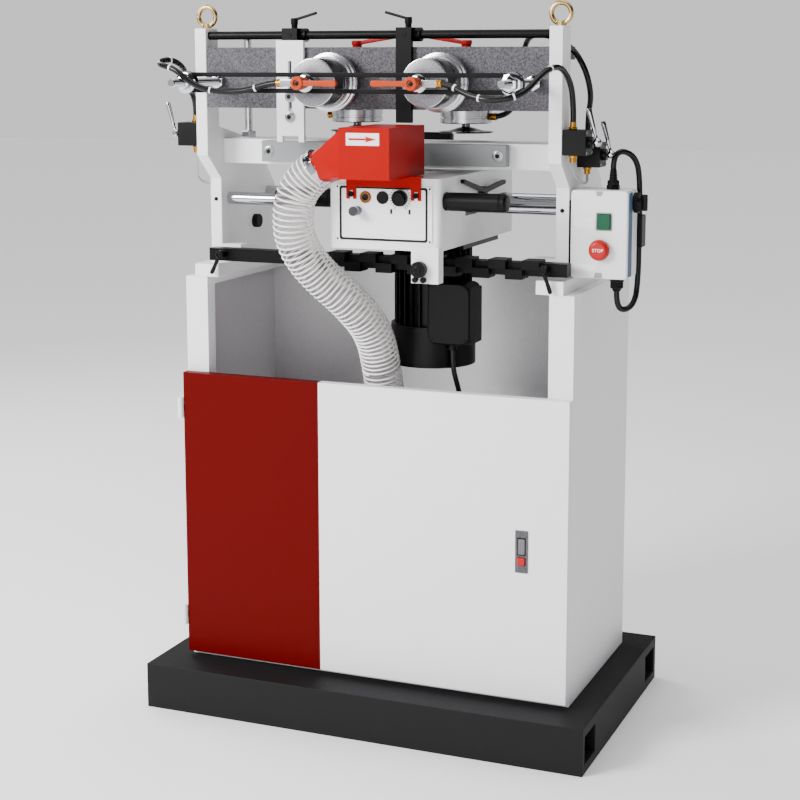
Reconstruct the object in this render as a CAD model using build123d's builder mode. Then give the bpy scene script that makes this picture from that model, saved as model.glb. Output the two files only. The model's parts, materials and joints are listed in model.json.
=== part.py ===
from build123d import *

import os
from math import atan2, degrees, hypot, radians, tan

# Pneumatic single-spindle dovetail machine on a cabinet, in millimetres.
# +X is the operator's right, +Y points away from the operator and +Z is up.
# The origin is the centre of the plinth's underside.
os.makedirs("parts", exist_ok=True)

# Fits
RUN_FIT = 0.05
SEAT_GAP = 0.3

# Plinth and cabinet
PLINTH_WIDTH, PLINTH_DEPTH, PLINTH_HEIGHT = 920.0, 552.0, 92.0
PLINTH_WALL = 8.0
POCKET_WIDTH, POCKET_HEIGHT, POCKET_LIFT = 70.0, 54.0, 18.0
POCKET_SPREAD = 450.0
CABINET_WIDTH, CABINET_HEIGHT = 808.0, 787.0
CABINET_FRONT, CABINET_BACK = -180.0, 210.0
SHEET = 3.0
POST_WIDTH, POST_RETURN = 48.0, 30.0
RAIL_LIP = 17.0
SILL_HEIGHT = 26.0
HALF_CABINET = CABINET_WIDTH / 2
CABINET_TOP = PLINTH_HEIGHT + CABINET_HEIGHT

# Levels above the cabinet, stacked on its top
FOOT_HEIGHT = 26.0
TEMPLATE_LIFT, TEMPLATE_HEIGHT = 7.0, 25.0
HOUSING_LIFT, HOUSING_HEIGHT = 25.0, 132.0
TABLE_LIFT, TABLE_HEIGHT = 8.0, 49.0
BEAM_LIFT, BEAM_HEIGHT = 63.0, 116.0
FRAME_RISE = 37.0
FOOT_TOP = CABINET_TOP + FOOT_HEIGHT
TEMPLATE_BOTTOM = FOOT_TOP + TEMPLATE_LIFT
TEMPLATE_TOP = TEMPLATE_BOTTOM + TEMPLATE_HEIGHT
HOUSING_BOTTOM = TEMPLATE_TOP + HOUSING_LIFT
HOUSING_TOP = HOUSING_BOTTOM + HOUSING_HEIGHT
TABLE_BOTTOM = HOUSING_TOP + TABLE_LIFT
TABLE_TOP = TABLE_BOTTOM + TABLE_HEIGHT
BEAM_BOTTOM = TABLE_TOP + BEAM_LIFT
BEAM_TOP = BEAM_BOTTOM + BEAM_HEIGHT
FRAME_TOP = BEAM_TOP + FRAME_RISE

# Door, hinges and latch
DOOR_THICKNESS, DOOR_SHEET = 20.5, 2.5
DOOR_LIFT, DOOR_HEIGHT = 10.0, 584.0
DOOR_BOTTOM = PLINTH_HEIGHT + DOOR_LIFT
DOOR_TOP = DOOR_BOTTOM + DOOR_HEIGHT
DOOR_BACK = CABINET_FRONT - SEAT_GAP
DOOR_FRONT = DOOR_BACK - DOOR_THICKNESS
HINGE_RADIUS, HINGE_PIN_RADIUS, HINGE_LEAF = 6.0, 3.0, 3.0
HINGE_HEIGHT = 42.0
HINGE_LIFT, HINGE_DROP = 78.0, 72.0
HINGE_CENTRES = (DOOR_BOTTOM + HINGE_LIFT, DOOR_TOP - HINGE_DROP)
HINGE_X = -HALF_CABINET - HINGE_RADIUS
HINGE_Y = DOOR_FRONT - HINGE_PIN_RADIUS / 2
LATCH_WIDTH, LATCH_HEIGHT, LATCH_DEPTH = 25.0, 82.0, 15.0
LATCH_X, LATCH_Z = 314.5, 393.0
LATCH_PLATE = 2.0
LATCH_FLANGE, LATCH_CAP, LATCH_FLOOR = 3.0, 6.0, 3.0
LATCH_BUTTON_SIZE, LATCH_BUTTON_DROP = 15.0, 18.5
LATCH_BUTTON_Z = LATCH_Z - LATCH_BUTTON_DROP
LATCH_BUTTON_TRAVEL, LATCH_BUTTON_PROUD = 3.0, 1.0

# Side frames
FRAME_GAP, FRAME_THICKNESS = 700.0, 25.0
FRAME_INNER = FRAME_GAP / 2
FRAME_OUTER = FRAME_INNER + FRAME_THICKNESS
FRAME_FRONT, FRAME_BACK = -178.0, -128.0
LEG_FRONT, SHOULDER_BACK = -125.0, -8.0
LEG_DROP, NECK_DROP, SHOULDER_RISE = 79.0, 31.0, 24.0
LEG_TOP, NECK_BOTTOM = TABLE_TOP - LEG_DROP, TABLE_TOP - NECK_DROP
SHOULDER_TOP = TABLE_TOP + SHOULDER_RISE
HAUNCH_YS, HAUNCH_DROPS = (60.0, 80.0, 114.0), (0.0, 16.0, 56.0)
HAUNCH = [(y, TABLE_BOTTOM - drop) for y, drop in zip(HAUNCH_YS, HAUNCH_DROPS)]
HEEL_BACK = 142.0
FOOT_WIDTH = 53.0
FOOT_FRONT, FOOT_BACK, FOOT_OVERHANG = -181.0, 150.0, 8.0
LUG_REACH, LUG_DEPTH, LUG_RISE = 42.0, 30.0, 3.0
LUG_TOP = TEMPLATE_TOP + LUG_RISE
EYE_RING, EYE_WIRE = 18.5, 4.5
EYE_Y = -148.0
BUMPER_RADIUS, BUMPER_REACH = 14.0, 12.0
BUMPER_Y, BUMPER_LIFT = 19.0, 12.0
BUMPER_Z = HOUSING_BOTTOM + BUMPER_LIFT

# Upper beam, columns and stop rod
BEAM_PLATE, BEAM_FLANGE = 28.0, 24.0
BEAM_BACK = -15.0
BEAM_SLOT_WIDTH, BEAM_SLOT_LENGTH = 12.0, 520.0
COLUMN_RADIUS, COLUMN_INSET, COLUMN_Y = 8.0, 17.0, -35.0
COLUMN_X = FRAME_INNER - COLUMN_INSET
COLUMN_RISE, COLUMN_NUT = 32.0, 12.0
COLUMN_TOP = BEAM_TOP + COLUMN_RISE
STOP_ROD_RADIUS, STOP_ROD_Y, STOP_ROD_RISE = 8.0, -163.0, 23.0
STOP_ROD_Z = BEAM_TOP + STOP_ROD_RISE

# Table
TABLE_FRONT, TABLE_BACK = -112.0, -12.0
STRIP_WIDTH, STRIP_THICKNESS, STRIP_HEIGHT = 508.0, 22.0, 41.0
STRIP_DROP = 2.0
STRIP_TOP = TABLE_TOP - STRIP_DROP
STRIP_SCREW_X, STRIP_SCREW_RADIUS, STRIP_SCREW_HEAD = 238.0, 8.0, 3.0
TABLE_STOP_LENGTH, TABLE_STOP_SIZE = 250.0, 14.0
TABLE_STOP_X = -25.0

# Front clamps on their slotted bar
CLAMP_RISE = 51.0
CLAMP_Z = BEAM_BOTTOM + CLAMP_RISE
BAR_LENGTH, BAR_HEIGHT, BAR_SLOT, BAR_THICKNESS = 690.0, 38.0, 21.0, 10.0
BAR_FRONT = -308.0
BAR_BACK = BAR_FRONT + BAR_THICKNESS
STUD_INSET, STUD_RADIUS, STUD_TIP = 3.0, 8.0, -365.0
STUD_X = (BAR_LENGTH - BAR_HEIGHT) / 2 - STUD_INSET
STUD_NUT_RADIUS, STUD_NUT_HEIGHT = 15.0, 12.0
STUD_WASHER_RADIUS, STUD_WASHER = 21.0, 4.0
FRONT_CLAMP_X = {"left": -75.0, "right": 147.0}
CAN_RADIUS, CAN_FRONT, CAN_BACK = 45.0, -275.0, -216.0
CAN_BOSS_RADIUS = 14.0
CLAMP_STUD_RADIUS, CLAMP_STUD_TIP = 6.0, -342.0
CLAMP_WASHER_RADIUS, CLAMP_WASHER = 17.0, 3.6
PISTON_ROD_RADIUS, PISTON_ROD_LENGTH = 14.0, 46.0
PRESSURE_PLATE_RADIUS, PRESSURE_PLATE = 55.0, 27.0
PRESSURE_PLATE_BACK = -188.5
PORT_LENGTH, PORT_HEIGHT, PORT_REACH = 42.0, 13.0, 20.0
PORT_INSET = 4.0
ORANGE_HUB_RADIUS, ORANGE_ARM, HUB_CAP = 12.5, 78.0, 3.0

# Top clamps
TOP_CLAMP_X = {"left": -77.0, "right": 150.0}
TOP_CLAMP_Y = -66.0
TOP_CAN_RADIUS, TOP_CAN_DROP, TOP_CAN_HEIGHT = 50.0, 2.0, 26.0
TOP_CAN_TOP = BEAM_BOTTOM - TOP_CAN_DROP
TOP_CAN_BOTTOM = TOP_CAN_TOP - TOP_CAN_HEIGHT
TOP_NECK_RADIUS = 34.0
TOP_STUD_RADIUS, TOP_STUD_RISE = 5.8, 16.0
TOP_STUD_TOP = BEAM_TOP + TOP_STUD_RISE
FOOT_ROD_RADIUS, FOOT_ROD_LENGTH = 8.0, 90.0
FOOT_DISC_RADIUS, FOOT_DISC_DROP, FOOT_DISC = 53.0, 18.0, 3.0
FOOT_DISC_BOTTOM = TOP_CAN_BOTTOM - FOOT_DISC_DROP
FOOT_DOME_RADIUS, FOOT_DOME_HEIGHT = 34.0, 11.0
FOOT_DOME_TOP = FOOT_DISC_BOTTOM + FOOT_DOME_HEIGHT
RED_HUB_RADIUS, RED_HUB_HEIGHT, RED_ARM, RED_RISE = 11.0, 20.0, 78.0, 10.0

# Side stops on the stop rod
STOP_HEAD_HEIGHT = 26.0
STOP_HEAD_BACK = -146.0
STOP_BACK = FRAME_FRONT - SEAT_GAP
STOP_COLLAR_RADIUS, STOP_COLLAR = 13.0, 11.0
WHITE_STOP_X, WHITE_STOP_WIDTH, WHITE_STOP_THICKNESS = -165.0, 58.0, 8.0
WHITE_STOP_HANG, WHITE_STOP_DROP = 64.0, 10.0
WHITE_STOP_BOTTOM = BEAM_BOTTOM - WHITE_STOP_HANG
WHITE_STOP_TOP = STOP_ROD_Z - WHITE_STOP_DROP
WHITE_HEAD_WIDTH = 32.0
WHITE_SLOT_WIDTH, WHITE_SLOT_LIFT, WHITE_SLOT_DROP = 7.0, 40.0, 38.0
WHITE_SLOT_BOTTOM = WHITE_STOP_BOTTOM + WHITE_SLOT_LIFT
WHITE_SLOT_TOP = WHITE_STOP_TOP - WHITE_SLOT_DROP
WHITE_LEG = 12.0
WHITE_SCREW_RADIUS, WHITE_SCREW_HEAD = 8.0, 6.0
WHITE_SCREW_LIFT, WHITE_SCREW_PITCH = 8.0, 39.0
WHITE_SCREW_HEIGHTS = [WHITE_SLOT_BOTTOM + WHITE_SCREW_LIFT + n * WHITE_SCREW_PITCH for n in (0, 1)]
BLACK_STOP_X, BLACK_STOP_WIDTH, BLACK_STOP_THICKNESS = 70.5, 31.0, 10.0
BLACK_STOP_HANG = 24.0
BLACK_STOP_BOTTOM = BEAM_BOTTOM - BLACK_STOP_HANG
STOP_STUD_RADIUS, STOP_STUD_HEIGHT = 4.0, 16.0
STOP_HUB_RADIUS, STOP_HUB_HEIGHT, STOP_ARM, STOP_RISE = 7.0, 19.0, 48.0, 10.0

# Guide rods, saddle and carriage housing
GUIDE_RADIUS, GUIDE_LIFT = 12.5, 68.0
GUIDE_Z = HOUSING_BOTTOM + GUIDE_LIFT
GUIDE_YS = (-90.0, 80.0)
CARRIAGE_X = 70.0
CROSS_TRAVEL = 45.0
HOUSING_WIDTH, HOUSING_WALL = 220.0, 8.0
HOUSING_FRONT, HOUSING_BACK = -283.0, 133.0
HOUSING_ROUND = 10.0
SADDLE_WIDTH, SADDLE_MARGIN = 140.0, 24.0
SADDLE_DROP, SADDLE_RISE = 20.0, 22.0
SADDLE_BOTTOM, SADDLE_TOP = GUIDE_Z - SADDLE_DROP, GUIDE_Z + SADDLE_RISE
SADDLE_KEY_WIDTH, SADDLE_KEY_HEIGHT = 20.0, 16.0
RAIL_WIDTH = 34.0
ROD_SLOT_MARGIN = 1.5
PANEL_MARGIN, PANEL_THICKNESS = 14.0, 2.5
PANEL_FIXING_DROP = 36.0
PANEL_FIXING_Z = HOUSING_TOP - PANEL_FIXING_DROP
BUSH_OFFSET, BUSH_RADIUS = -35.0, 11.0
PLUG_OFFSET, PLUG_RADIUS = -1.0, 12.0
FITTING_REACH = 3.0
KNOB_OFFSET, KNOB_RADIUS, KNOB_REACH, KNOB_STEM = 34.0, 15.0, 14.0, 4.0
PLUNGER_OFFSET, PLUNGER_DROP = -51.0, 25.0
PLUNGER_Z = PANEL_FIXING_Z - PLUNGER_DROP
PLUNGER_RADIUS, PLUNGER_REACH, PLUNGER_STEM = 9.0, 24.0, 5.0
GRIP_RADIUS, GRIP_LENGTH, GRIP_Y, GRIP_DROP = 17.0, 120.0, -255.0, 42.0
GRIP_Z = HOUSING_TOP - GRIP_DROP
GRIP_ROUND = 3.0
LOCK_Y, LOCK_DROP, LOCK_HUB_RADIUS = -72.0, 36.0, 9.0
LOCK_Z = HOUSING_TOP - LOCK_DROP
LOCK_HUB_REACH, LOCK_CAP, LOCK_ARM_THICKNESS = 12.0, 2.0, 8.0
LOCK_FRONT_TIP, LOCK_FRONT_RISE = -190.0, 26.0
LOCK_BACK_TIP, LOCK_BACK_RISE = 40.0, 10.0
LOCK_TIPS = (
    (LOCK_FRONT_TIP, LOCK_Z + LOCK_FRONT_RISE),
    (LOCK_BACK_TIP, LOCK_Z + LOCK_BACK_RISE),
)
ARM_WIDTH, ARM_DROP, ARM_THICKNESS = 53.0, 58.0, 25.0
ARM_BOTTOM = HOUSING_BOTTOM - ARM_DROP
ARM_FRONT = -290.0
FOLLOWER_OFFSET, FOLLOWER_LIFT = 74.0, 26.0
FOLLOWER_Z = ARM_BOTTOM + FOLLOWER_LIFT
FOLLOWER_RADIUS, FOLLOWER_KNOB_RADIUS, FOLLOWER_KNOB = 6.0, 15.0, 14.0
FOLLOWER_TIP = -236.0

# Chip hood
HOOD_X, HOOD_WIDTH, HOOD_SHEET = 71.0, 98.0, 2.0
HOOD_FRONT, HOOD_BACK = -376.0, -207.0
HOOD_LIFT, HOOD_HEIGHT = 2.0, 92.0
HOOD_BOTTOM = HOUSING_TOP + HOOD_LIFT
HOOD_TOP = HOOD_BOTTOM + HOOD_HEIGHT
SKIRT_WIDTH, SKIRT_DROP = 148.0, 19.0
SKIRT_BOTTOM = HOOD_BOTTOM - SKIRT_DROP
TAB_WIDTH, TAB_DROP, TAB_SLOT = 20.0, 23.0, 7.0
TAB_BOTTOM = SKIRT_BOTTOM - TAB_DROP
SPOUT_Y, SPOUT_RADIUS = -319.0, 32.0
SPOUT_END_X, SPOUT_LIFT = -48.0, 11.0
SPOUT_END_Z = HOOD_BOTTOM + SPOUT_LIFT
SPOUT_SLOPE = 37.7
SPOUT_MOUTH_WIDTH, SPOUT_MOUTH_HEIGHT = 106.0, 84.0
BAND_WIDTH, BAND_THICKNESS = 14.0, 2.5

# Spindle, motor and belt
SPINDLE_Y = -215.0
SPINDLE_RADIUS, SPINDLE_BOSS_RADIUS, SPINDLE_BOSS_DEPTH = 18.0, 30.0, 60.0
SPINDLE_RISE = 34.0
SPINDLE_NOSE = HOUSING_TOP + SPINDLE_RISE
COLLET_RADIUS, COLLET_HEIGHT = 14.0, 16.0
CUTTER_SHANK_RADIUS, CUTTER_RADIUS, CUTTER_NECK_RADIUS = 4.0, 8.0, 5.0
CUTTER_LENGTH, CUTTER_REACH = 14.0, 34.0
CUTTER_TIP = SPINDLE_NOSE + CUTTER_REACH
MOTOR_Y = -31.0
PULLEY_LIFT, PULLEY_HEIGHT = 20.0, 20.0
PULLEY_BOTTOM = HOUSING_BOTTOM + PULLEY_LIFT
SPINDLE_PULLEY_RADIUS, MOTOR_PULLEY_RADIUS = 24.0, 44.0
BELT_THICKNESS, BELT_WIDTH = 4.0, 16.0
MOTOR_PLATE, MOTOR_PLATE_LENGTH = 12.0, 200.0
MOTOR_CORE_RADIUS, MOTOR_FIN_RADIUS, MOTOR_FIN, MOTOR_FIN_COUNT = 66.0, 77.0, 3.0, 28
MOTOR_SHAFT_RADIUS, MOTOR_SHAFT_DEPTH = 12.0, 60.0
FAN_COVER_RADIUS, FAN_COVER_DROP, FAN_COVER_HEIGHT = 84.0, 170.0, 80.0
FAN_COVER_TOP = HOUSING_BOTTOM - FAN_COVER_DROP
FAN_COVER_BOTTOM = FAN_COVER_TOP - FAN_COVER_HEIGHT
BOX_LEFT, BOX_RIGHT, BOX_FRONT, BOX_BACK = 98.0, 183.0, -125.0, -62.0
BOX_DROP, BOX_HEIGHT = 88.0, 108.0
BOX_TOP = HOUSING_BOTTOM - BOX_DROP
BOX_BOTTOM = BOX_TOP - BOX_HEIGHT
MOTOR_GLAND_RADIUS, MOTOR_GLAND = 9.0, 16.0
MOTOR_GLAND_X, MOTOR_GLAND_Y = 136.5, -98.5

# Template bar
TEMPLATE_LEFT_REACH, TEMPLATE_RIGHT_REACH = 2.0, 38.0
TEMPLATE_LEFT = -FRAME_INNER - TEMPLATE_LEFT_REACH
TEMPLATE_RIGHT = FRAME_INNER + TEMPLATE_RIGHT_REACH
TEMPLATE_FRONT, TEMPLATE_BACK = -176.0, -150.0
FINGER_WIDTH, FINGER_PITCH, FINGER_REACH = 33.0, 65.0, 14.0
FINGER_FIRST, FINGER_COUNT = -68.0, 7
FINGER_UP, FINGER_DOWN = 5.0, 6.0
LEFT_STUD_INSET, RIGHT_STUD_INSET = 32.0, 2.0
TEMPLATE_STUD_X = {"left": LEFT_STUD_INSET - FRAME_INNER, "right": FRAME_INNER - RIGHT_STUD_INSET}
TEMPLATE_STUD_LIFT, TEMPLATE_STUD_RADIUS = 15.0, 4.0
TEMPLATE_STUD_Z = TEMPLATE_BOTTOM + TEMPLATE_STUD_LIFT
TEMPLATE_HUB_RADIUS, TEMPLATE_HUB_HEIGHT, TEMPLATE_ARM = 8.0, 24.0, 46.0
TEMPLATE_CAP = 4.0
TEMPLATE_LEANS = {"left": -60.0, "right": -73.0}

# Control box
CONTROL_GAP, CONTROL_WIDTH = 5.0, 108.0
CONTROL_LEFT = FRAME_OUTER + CONTROL_GAP
CONTROL_RIGHT = CONTROL_LEFT + CONTROL_WIDTH
CONTROL_FRONT, CONTROL_BACK = -131.0, -61.0
CONTROL_LIFT, CONTROL_HEIGHT = 2.0, 163.0
CONTROL_BOTTOM = FOOT_TOP + CONTROL_LIFT
CONTROL_TOP = CONTROL_BOTTOM + CONTROL_HEIGHT
CONTROL_ROUND, BRACKET_INSET = 6.0, 20.0
START_INSET, START_LIFT, START_WIDTH, START_HEIGHT, START_REACH = 63.5, 106.0, 25.0, 28.0, 5.0
START_X, START_Z = CONTROL_LEFT + START_INSET, CONTROL_BOTTOM + START_LIFT
START_DEPTH, START_TRAVEL = 12.0, 3.0
STOP_INSET, STOP_LIFT, STOP_RADIUS, STOP_CAP, STOP_STEM = 57.0, 54.0, 19.5, 13.0, 8.0
STOP_X, STOP_Z = CONTROL_LEFT + STOP_INSET, CONTROL_BOTTOM + STOP_LIFT
STOP_TRAVEL = 4.0
SWITCH_Y, SWITCH_DROP, SWITCH_RADIUS, SWITCH_REACH, SWITCH_STEM = -84.0, 24.0, 19.0, 24.0, 5.0
SWITCH_Z = CONTROL_TOP - SWITCH_DROP
LOW_GLAND_INSET, LOW_GLAND_RADIUS, LOW_GLAND = 28.0, 14.0, 26.0
HIGH_GLAND_INSET, HIGH_GLAND_RADIUS, HIGH_GLAND = 38.0, 13.0, 40.0
LOW_GLAND_X = CONTROL_RIGHT - LOW_GLAND_INSET
HIGH_GLAND_X = CONTROL_RIGHT - HIGH_GLAND_INSET
GLAND_Y = -95.0
ENTRY_SHIFT, ENTRY_WIDTH, ENTRY_DEPTH = 4.0, 26.0, 30.0
ENTRY_LIFT, ENTRY_HEIGHT = 53.0, 60.0
ENTRY_X = CONTROL_RIGHT - ENTRY_SHIFT
ENTRY_BOTTOM = CONTROL_BOTTOM + ENTRY_LIFT
ENTRY_TOP = ENTRY_BOTTOM + ENTRY_HEIGHT

# Hand-lever valves: place, height and side of the frame
FRONT_VALVE_Y, REAR_VALVE_Y = -153.0, -57.0
LEFT_VALVE_DROP, FRONT_VALVE_DROP, REAR_VALVE_DROP = 14.0, 17.0, 44.0
VALVES = {
    "left": (-1, FRONT_VALVE_Y, SHOULDER_TOP - LEFT_VALVE_DROP),
    "right_front": (1, FRONT_VALVE_Y, SHOULDER_TOP - FRONT_VALVE_DROP),
    "right_rear": (1, REAR_VALVE_Y, SHOULDER_TOP - REAR_VALVE_DROP),
}
VALVE_DEPTH, VALVE_HEIGHT, VALVE_LENGTH = 44.0, 46.0, 44.0
VALVE_NECK_RADIUS, VALVE_NECK = 11.0, 8.0
VALVE_BALL_RADIUS, VALVE_LEVER_RADIUS, VALVE_LEVER = 8.0, 3.5, 62.0
VALVE_LEAN = 16.0
VALVE_PIN_RADIUS, VALVE_PIN = 3.0, 18.0
VALVE_FITTING_RADIUS, VALVE_FITTING = 6.0, 14.0

# Hoses and cables
DUST_HOSE_RADIUS = 38.5
MOTOR_CABLE_RADIUS, CONTROL_CABLE_RADIUS = 5.0, 5.5
AIR_HOSE_RADIUS, CLEAR_TUBE_RADIUS = 5.5, 2.5
OUTLET_X, OUTLET_Z, OUTLET_WALL = 2.0, 408.0, 3.0
OUTLET_INNER_END, OUTLET_OUTER_END = 172.0, 245.0
CABLE_PORT_X, CABLE_PORT_Z, CABLE_PORT_END = 235.0, 505.0, 187.0
CABLE_PORT_RADIUS = 9.0
HOSE_START, FRONT_HOSE_START, TOP_HOSE_START = 45.0, 22.0, 20.0
FRONT_HOSE_Y, TOP_HOSE_LIFT = -320.0, 13.0
TOP_HOSE_Z = TOP_CAN_BOTTOM + TOP_HOSE_LIFT

UP_ALIGN = (Align.CENTER, Align.CENTER, Align.MIN)


def block(x, y, z, mode=Mode.ADD):
    """Box between two limits on each axis, in the part being built."""
    low, high = zip(*(sorted(pair) for pair in (x, y, z)))
    middle = tuple((a + b) / 2 for a, b in zip(low, high))
    with Locations(middle):
        return Box(*[b - a for a, b in zip(low, high)], mode=mode)


def around(middle, width):
    """Limits of a given width about a middle."""
    return (middle - width / 2, middle + width / 2)


def rod(start, end, radius, mode=Mode.ADD):
    """Cylinder from one point to another, in the part being built."""
    axis = Vector(*end) - Vector(*start)
    with Locations(Plane(origin=start, z_dir=axis)):
        return Cylinder(radius, axis.length, align=UP_ALIGN, mode=mode)


def hexagon(start, end, radius, mode=Mode.ADD):
    """Hexagon bar from one point to another, in the part being built."""
    axis = Vector(*end) - Vector(*start)
    with BuildSketch(Plane(origin=start, z_dir=axis)) as profile:
        RegularPolygon(radius, 6)
    return extrude(profile.sketch, amount=axis.length, mode=mode)


def save(part, name):
    """Label a finished piece and write it."""
    part.label = name
    export_step(part, f"parts/{name}.step")


def clamp_lever(plane, hub_radius, hub_height, arm_length, arm_rise, stud_radius, stud_height):
    """Clamp lever with its hub on the plane, its arm along the plane's X and a blind bore."""
    arm_width = hub_radius
    lean = degrees(atan2(arm_rise, arm_length))
    with BuildPart(plane) as lever:
        Cylinder(hub_radius, hub_height, align=UP_ALIGN)
        with Locations((0, 0, hub_height - arm_width / 2)):
            Box(
                hypot(arm_length, arm_rise),
                arm_width,
                arm_width * 0.7,
                rotation=(0, -lean, 0),
                align=(Align.MIN, Align.CENTER, Align.CENTER),
            )
        with Locations((0, 0, 0)):
            Cylinder(stud_radius + RUN_FIT, stud_height, align=UP_ALIGN, mode=Mode.SUBTRACT)
    return lever.part


def cord(points, radius):
    """Tube along straight runs joined by arcs as large as the runs allow."""
    corners = []
    for before, here, after in zip(points, points[1:], points[2:]):
        first = Vector(*here) - Vector(*before)
        second = Vector(*after) - Vector(*here)
        half_turn = radians(first.get_angle(second)) / 2
        corners.append(0.45 * min(first.length, second.length) / tan(half_turn))
    with BuildPart() as tube:
        with BuildLine():
            FilletPolyline(*points, radius=corners)
        with BuildSketch(Plane(origin=points[0], z_dir=Vector(*points[1]) - Vector(*points[0]))):
            Circle(radius)
        sweep()
    return tube.part


# Plinth: hollow base with two fork pockets running across
with BuildPart() as plinth:
    block(around(0, PLINTH_WIDTH), around(0, PLINTH_DEPTH), (0, PLINTH_HEIGHT))
    for pocket_y in (-POCKET_SPREAD / 2, POCKET_SPREAD / 2):
        block(
            around(0, PLINTH_WIDTH),
            around(pocket_y, POCKET_WIDTH),
            (POCKET_LIFT, POCKET_LIFT + POCKET_HEIGHT),
            Mode.SUBTRACT,
        )
    block(
        around(0, PLINTH_WIDTH - 2 * PLINTH_WALL),
        around(0, POCKET_SPREAD - POCKET_WIDTH - 2 * PLINTH_WALL),
        (PLINTH_WALL, PLINTH_HEIGHT - PLINTH_WALL),
        Mode.SUBTRACT,
    )
save(plinth.part, "plinth")

# Cabinet: folded sheet with boxed posts, top rails, extraction outlet and hinge leaves
with BuildPart() as cabinet_shell:
    block(around(0, CABINET_WIDTH), (CABINET_FRONT, CABINET_BACK), (PLINTH_HEIGHT, CABINET_TOP))
    block(
        around(0, CABINET_WIDTH - 2 * SHEET),
        (CABINET_FRONT + SHEET, CABINET_BACK - SHEET),
        (PLINTH_HEIGHT + SHEET, CABINET_TOP),
        Mode.SUBTRACT,
    )
    block(
        around(0, CABINET_WIDTH - 2 * POST_WIDTH),
        (CABINET_FRONT, CABINET_FRONT + SHEET),
        (PLINTH_HEIGHT + SILL_HEIGHT, CABINET_TOP),
        Mode.SUBTRACT,
    )
    inner_post = HALF_CABINET - POST_WIDTH
    for side in (-1, 1):
        block(
            (side * inner_post, side * (inner_post + SHEET)),
            (CABINET_FRONT, CABINET_FRONT + POST_RETURN),
            (PLINTH_HEIGHT, CABINET_TOP),
        )
        block(
            (side * inner_post, side * HALF_CABINET),
            (CABINET_FRONT, CABINET_BACK),
            (CABINET_TOP - SHEET, CABINET_TOP),
        )
        block(
            (side * inner_post, side * (inner_post + SHEET)),
            (CABINET_FRONT, CABINET_BACK),
            (CABINET_TOP - RAIL_LIP, CABINET_TOP),
        )
    block(
        around(0, CABINET_WIDTH),
        (CABINET_BACK - POST_RETURN, CABINET_BACK),
        (CABINET_TOP - SHEET, CABINET_TOP),
    )
    for radius, mode in ((DUST_HOSE_RADIUS, Mode.ADD), (DUST_HOSE_RADIUS - OUTLET_WALL, Mode.SUBTRACT)):
        rod(
            (OUTLET_X, OUTLET_INNER_END, OUTLET_Z),
            (OUTLET_X, OUTLET_OUTER_END, OUTLET_Z),
            radius,
            mode,
        )
    rod(
        (CABLE_PORT_X, CABLE_PORT_END, CABLE_PORT_Z),
        (CABLE_PORT_X, CABINET_BACK, CABLE_PORT_Z),
        CABLE_PORT_RADIUS,
    )
    for hinge_z in HINGE_CENTRES:
        for end in (-1, 1):
            knuckle = sorted((hinge_z + end * HINGE_HEIGHT / 2, hinge_z + end * HINGE_HEIGHT / 6))
            rod((HINGE_X, HINGE_Y, knuckle[0]), (HINGE_X, HINGE_Y, knuckle[1]), HINGE_RADIUS)
            block(
                (HINGE_X - HINGE_LEAF, -HALF_CABINET),
                (HINGE_Y, CABINET_FRONT + POST_RETURN),
                knuckle,
            )
        rod(
            (HINGE_X, HINGE_Y, hinge_z - HINGE_HEIGHT / 2),
            (HINGE_X, HINGE_Y, hinge_z + HINGE_HEIGHT / 2),
            HINGE_PIN_RADIUS,
        )
save(cabinet_shell.part, "cabinet_shell")

# Door: folded pan with a hinge eye at each hinge and a pocket for the latch
with BuildPart() as door:
    door_left, door_right = -HALF_CABINET + SEAT_GAP, HALF_CABINET
    block((door_left, door_right), (DOOR_FRONT, DOOR_BACK), (DOOR_BOTTOM, DOOR_TOP))
    block(
        (door_left + DOOR_SHEET, door_right - DOOR_SHEET),
        (DOOR_FRONT + DOOR_SHEET, DOOR_BACK),
        (DOOR_BOTTOM + DOOR_SHEET, DOOR_TOP - DOOR_SHEET),
        Mode.SUBTRACT,
    )
    for hinge_z in HINGE_CENTRES:
        eye = around(hinge_z, HINGE_HEIGHT / 3 - 2 * SEAT_GAP)
        block((HINGE_X, door_left + DOOR_SHEET), (DOOR_FRONT, DOOR_FRONT + HINGE_LEAF), eye)
        rod((HINGE_X, HINGE_Y, eye[0]), (HINGE_X, HINGE_Y, eye[1]), HINGE_RADIUS)
        rod(
            (HINGE_X, HINGE_Y, eye[0]),
            (HINGE_X, HINGE_Y, eye[1]),
            HINGE_PIN_RADIUS + RUN_FIT,
            Mode.SUBTRACT,
        )
    block(
        around(LATCH_X, LATCH_WIDTH - 2 * LATCH_FLANGE),
        (DOOR_FRONT, DOOR_FRONT + DOOR_SHEET),
        around(LATCH_Z, LATCH_HEIGHT - 2 * LATCH_CAP),
        Mode.SUBTRACT,
    )
save(door.part, "door")

with BuildPart() as door_latch:
    block(
        around(LATCH_X, LATCH_WIDTH),
        (DOOR_FRONT - LATCH_PLATE, DOOR_FRONT),
        around(LATCH_Z, LATCH_HEIGHT),
    )
    block(
        around(LATCH_X, LATCH_WIDTH - 2 * LATCH_FLANGE),
        (DOOR_FRONT, DOOR_FRONT + LATCH_DEPTH),
        around(LATCH_Z, LATCH_HEIGHT - 2 * LATCH_CAP),
    )
    block(
        around(LATCH_X, LATCH_BUTTON_SIZE + 2 * SEAT_GAP),
        (DOOR_FRONT - LATCH_PLATE, DOOR_FRONT + LATCH_DEPTH - LATCH_FLOOR),
        around(LATCH_BUTTON_Z, LATCH_BUTTON_SIZE + 2 * SEAT_GAP),
        Mode.SUBTRACT,
    )
save(door_latch.part, "door_latch")

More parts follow.
